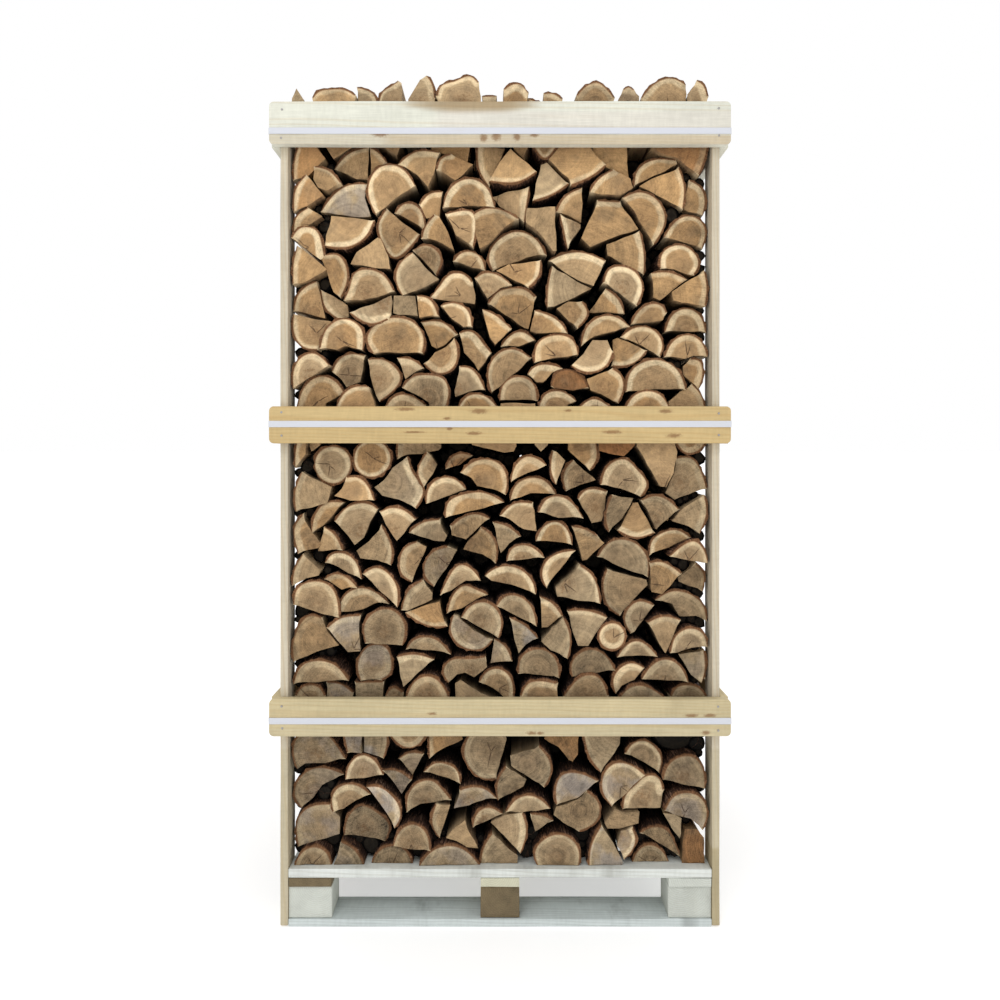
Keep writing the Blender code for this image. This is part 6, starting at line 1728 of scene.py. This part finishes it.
class CRATE_OT_front_row(bpy.types.Operator):
    """Stack the front row of logs in three tiers, with billets in its gaps"""

    bl_idname = "crate.front_row"
    bl_label = "Front row"

    def execute(self, context):
        """Make a piece of each tier of the list, and one of the billets."""
        finishes = oak_finishes(context)
        for tier, heights in FRONT_TIERS.items():
            heap = Heap()
            add_logs(heap, STACK, FRONT_SEEDS[0], "fine", heights)
            attach(heap.make(f"firewood_front_{tier}", finishes), "oak", "firewood_row_front")
        heap = Heap()
        add_billets(heap, FRONT_SEEDS[1])
        attach(heap.make("firewood_front_billets", finishes), "oak", "firewood_row_front")
        return {"FINISHED"}


class CRATE_OT_hidden_rows(bpy.types.Operator):
    """Stack the middle and rear rows: the same way of stacking, turned about"""

    bl_idname = "crate.hidden_rows"
    bl_label = "Middle and rear rows"

    def execute(self, context):
        """Make one piece of the middle row, then the rear row's two tiers and its billets."""
        finishes = oak_finishes(context)
        place = {"shift": ROW_STEP, "spin": True}
        heap = Heap()
        add_logs(heap, STACK, MIDDLE_SEEDS[0], open_side, **place)
        add_logs(heap, TOP_LOGS, MIDDLE_SEEDS[1], "plain", lift=HIDDEN_LIFT, **place)
        add_billets(heap, MIDDLE_SEEDS[2], **place)
        attach(heap.make("firewood_middle", finishes), "oak", "firewood_row_middle")
        for tier, heights in REAR_TIERS.items():
            heap = Heap()
            add_logs(heap, STACK, REAR_SEEDS[0], "plain", heights, spin=True)
            add_logs(heap, TOP_LOGS, REAR_SEEDS[1], "plain", heights, spin=True, lift=HIDDEN_LIFT)
            attach(heap.make(f"firewood_rear_{tier}", finishes), "oak", "firewood_row_rear")
        heap = Heap()
        add_billets(heap, REAR_SEEDS[2], spin=True)
        attach(heap.make("firewood_rear_billets", finishes), "oak", "firewood_row_rear")
        return {"FINISHED"}


class CRATE_OT_top_logs(bpy.types.Operator):
    """Lay the loose logs on top of the front row"""

    bl_idname = "crate.top_logs"
    bl_label = "Loose top logs"

    def execute(self, context):
        """Make a piece of each log."""
        finishes = oak_finishes(context)
        for number, entry in enumerate(TOP_LOGS):
            heap = Heap()
            add_logs(heap, [entry], TOP_SEED + number, "fine")
            name = f"top_log_{number + 1:02d}"
            attach(heap.make(f"{name}_split", finishes), "oak", name)
        return {"FINISHED"}


class CRATE_OT_stage(bpy.types.Operator):
    """Set the pale floor, the soft lights and the camera"""

    bl_idname = "crate.stage"
    bl_label = "Stage"

    def execute(self, context):
        """The floor is one wide square; a white world and two lamps light it; the camera looks
        straight ahead, with its picture shifted to show the whole height."""
        scene = context.scene
        heap = Heap()
        points = np.array([(-1, -1, 0), (1, -1, 0), (1, 1, 0), (-1, 1, 0)]) * FLOOR_REACH
        heap.add(points, [np.array([[0, 1, 2, 3]])], np.zeros(1, int))
        floor = heap.make("studio_floor", [floor_finish(Palette(scene.firewood_look))])
        world = bpy.data.worlds.new("studio")
        world.use_nodes = True
        background = world.node_tree.nodes["Background"]
        background.inputs["Color"].default_value = (1.0, 1.0, 1.0, 1.0)
        background.inputs["Strength"].default_value = 1.0
        scene.world = world
        for lamp in LIGHTS:
            self.light(*lamp)
        scene.view_settings.view_transform = "Standard"
        camera = bpy.data.cameras.new("camera")
        camera.angle = 2 * math.atan(VIEW_WIDTH / 2 / CAMERA_DISTANCE)
        camera.shift_y = HORIZON_SHIFT
        stand = bpy.data.objects.new("camera", camera)
        stand.location = (0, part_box("rail_top_front")[0][1] - CAMERA_DISTANCE, CAMERA_HEIGHT)
        stand.rotation_euler = (math.pi / 2, 0, 0)
        scene.collection.objects.link(stand)
        scene.camera = stand
        return {"FINISHED"}

    def light(self, name, place, target, size, power):
        """Hang one square soft light that faces a point."""
        lamp = bpy.data.lights.new(name, "AREA")
        lamp.shape = "SQUARE"
        lamp.size = size
        lamp.energy = power
        hung = bpy.data.objects.new(name, lamp)
        hung.location = place
        away = Vector(place) - Vector(target)
        hung.rotation_euler = away.to_track_quat("Z", "Y").to_euler()
        bpy.context.scene.collection.objects.link(hung)


OPERATORS = (
    CRATE_OT_pallet, CRATE_OT_posts, CRATE_OT_rails, CRATE_OT_straps, CRATE_OT_nails,
    CRATE_OT_front_row, CRATE_OT_hidden_rows, CRATE_OT_top_logs, CRATE_OT_stage,
)


class CRATE_PT_panel(bpy.types.Panel):
    """Lists the pieces and their settings"""

    bl_idname = "CRATE_PT_panel"
    bl_label = "Firewood crate"
    bl_space_type = "VIEW_3D"
    bl_region_type = "UI"
    bl_category = "Firewood"

    def draw(self, context):
        """List every setting, then a button for every operator."""
        layout = self.layout
        for group in (context.scene.firewood_look, context.scene.crate_look):
            column = layout.column()
            for name in group.bl_rna.properties.keys():
                if name not in ("rna_type", "name"):
                    column.prop(group, name)
        for operator in OPERATORS:
            layout.operator(operator.bl_idname)


GROUPS = (FirewoodLook, CrateLook)


def register():
    """Register the classes and hang the settings on the scene."""
    for cls in (*GROUPS, *OPERATORS, CRATE_PT_panel):
        bpy.utils.register_class(cls)
    bpy.types.Scene.firewood_look = bpy.props.PointerProperty(type=FirewoodLook)
    bpy.types.Scene.crate_look = bpy.props.PointerProperty(type=CrateLook)


def unregister():
    """Take the settings off the scene and unregister the classes."""
    del bpy.types.Scene.crate_look
    del bpy.types.Scene.firewood_look
    for cls in reversed((*GROUPS, *OPERATORS, CRATE_PT_panel)):
        bpy.utils.unregister_class(cls)


def main():
    """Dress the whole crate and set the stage."""
    register()
    bpy.ops.crate.pallet()
    bpy.ops.crate.posts()
    bpy.ops.crate.rails()
    bpy.ops.crate.straps()
    bpy.ops.crate.nails()
    bpy.ops.crate.front_row()
    bpy.ops.crate.hidden_rows()
    bpy.ops.crate.top_logs()
    bpy.ops.crate.stage()


if __name__ == "__main__":
    main()
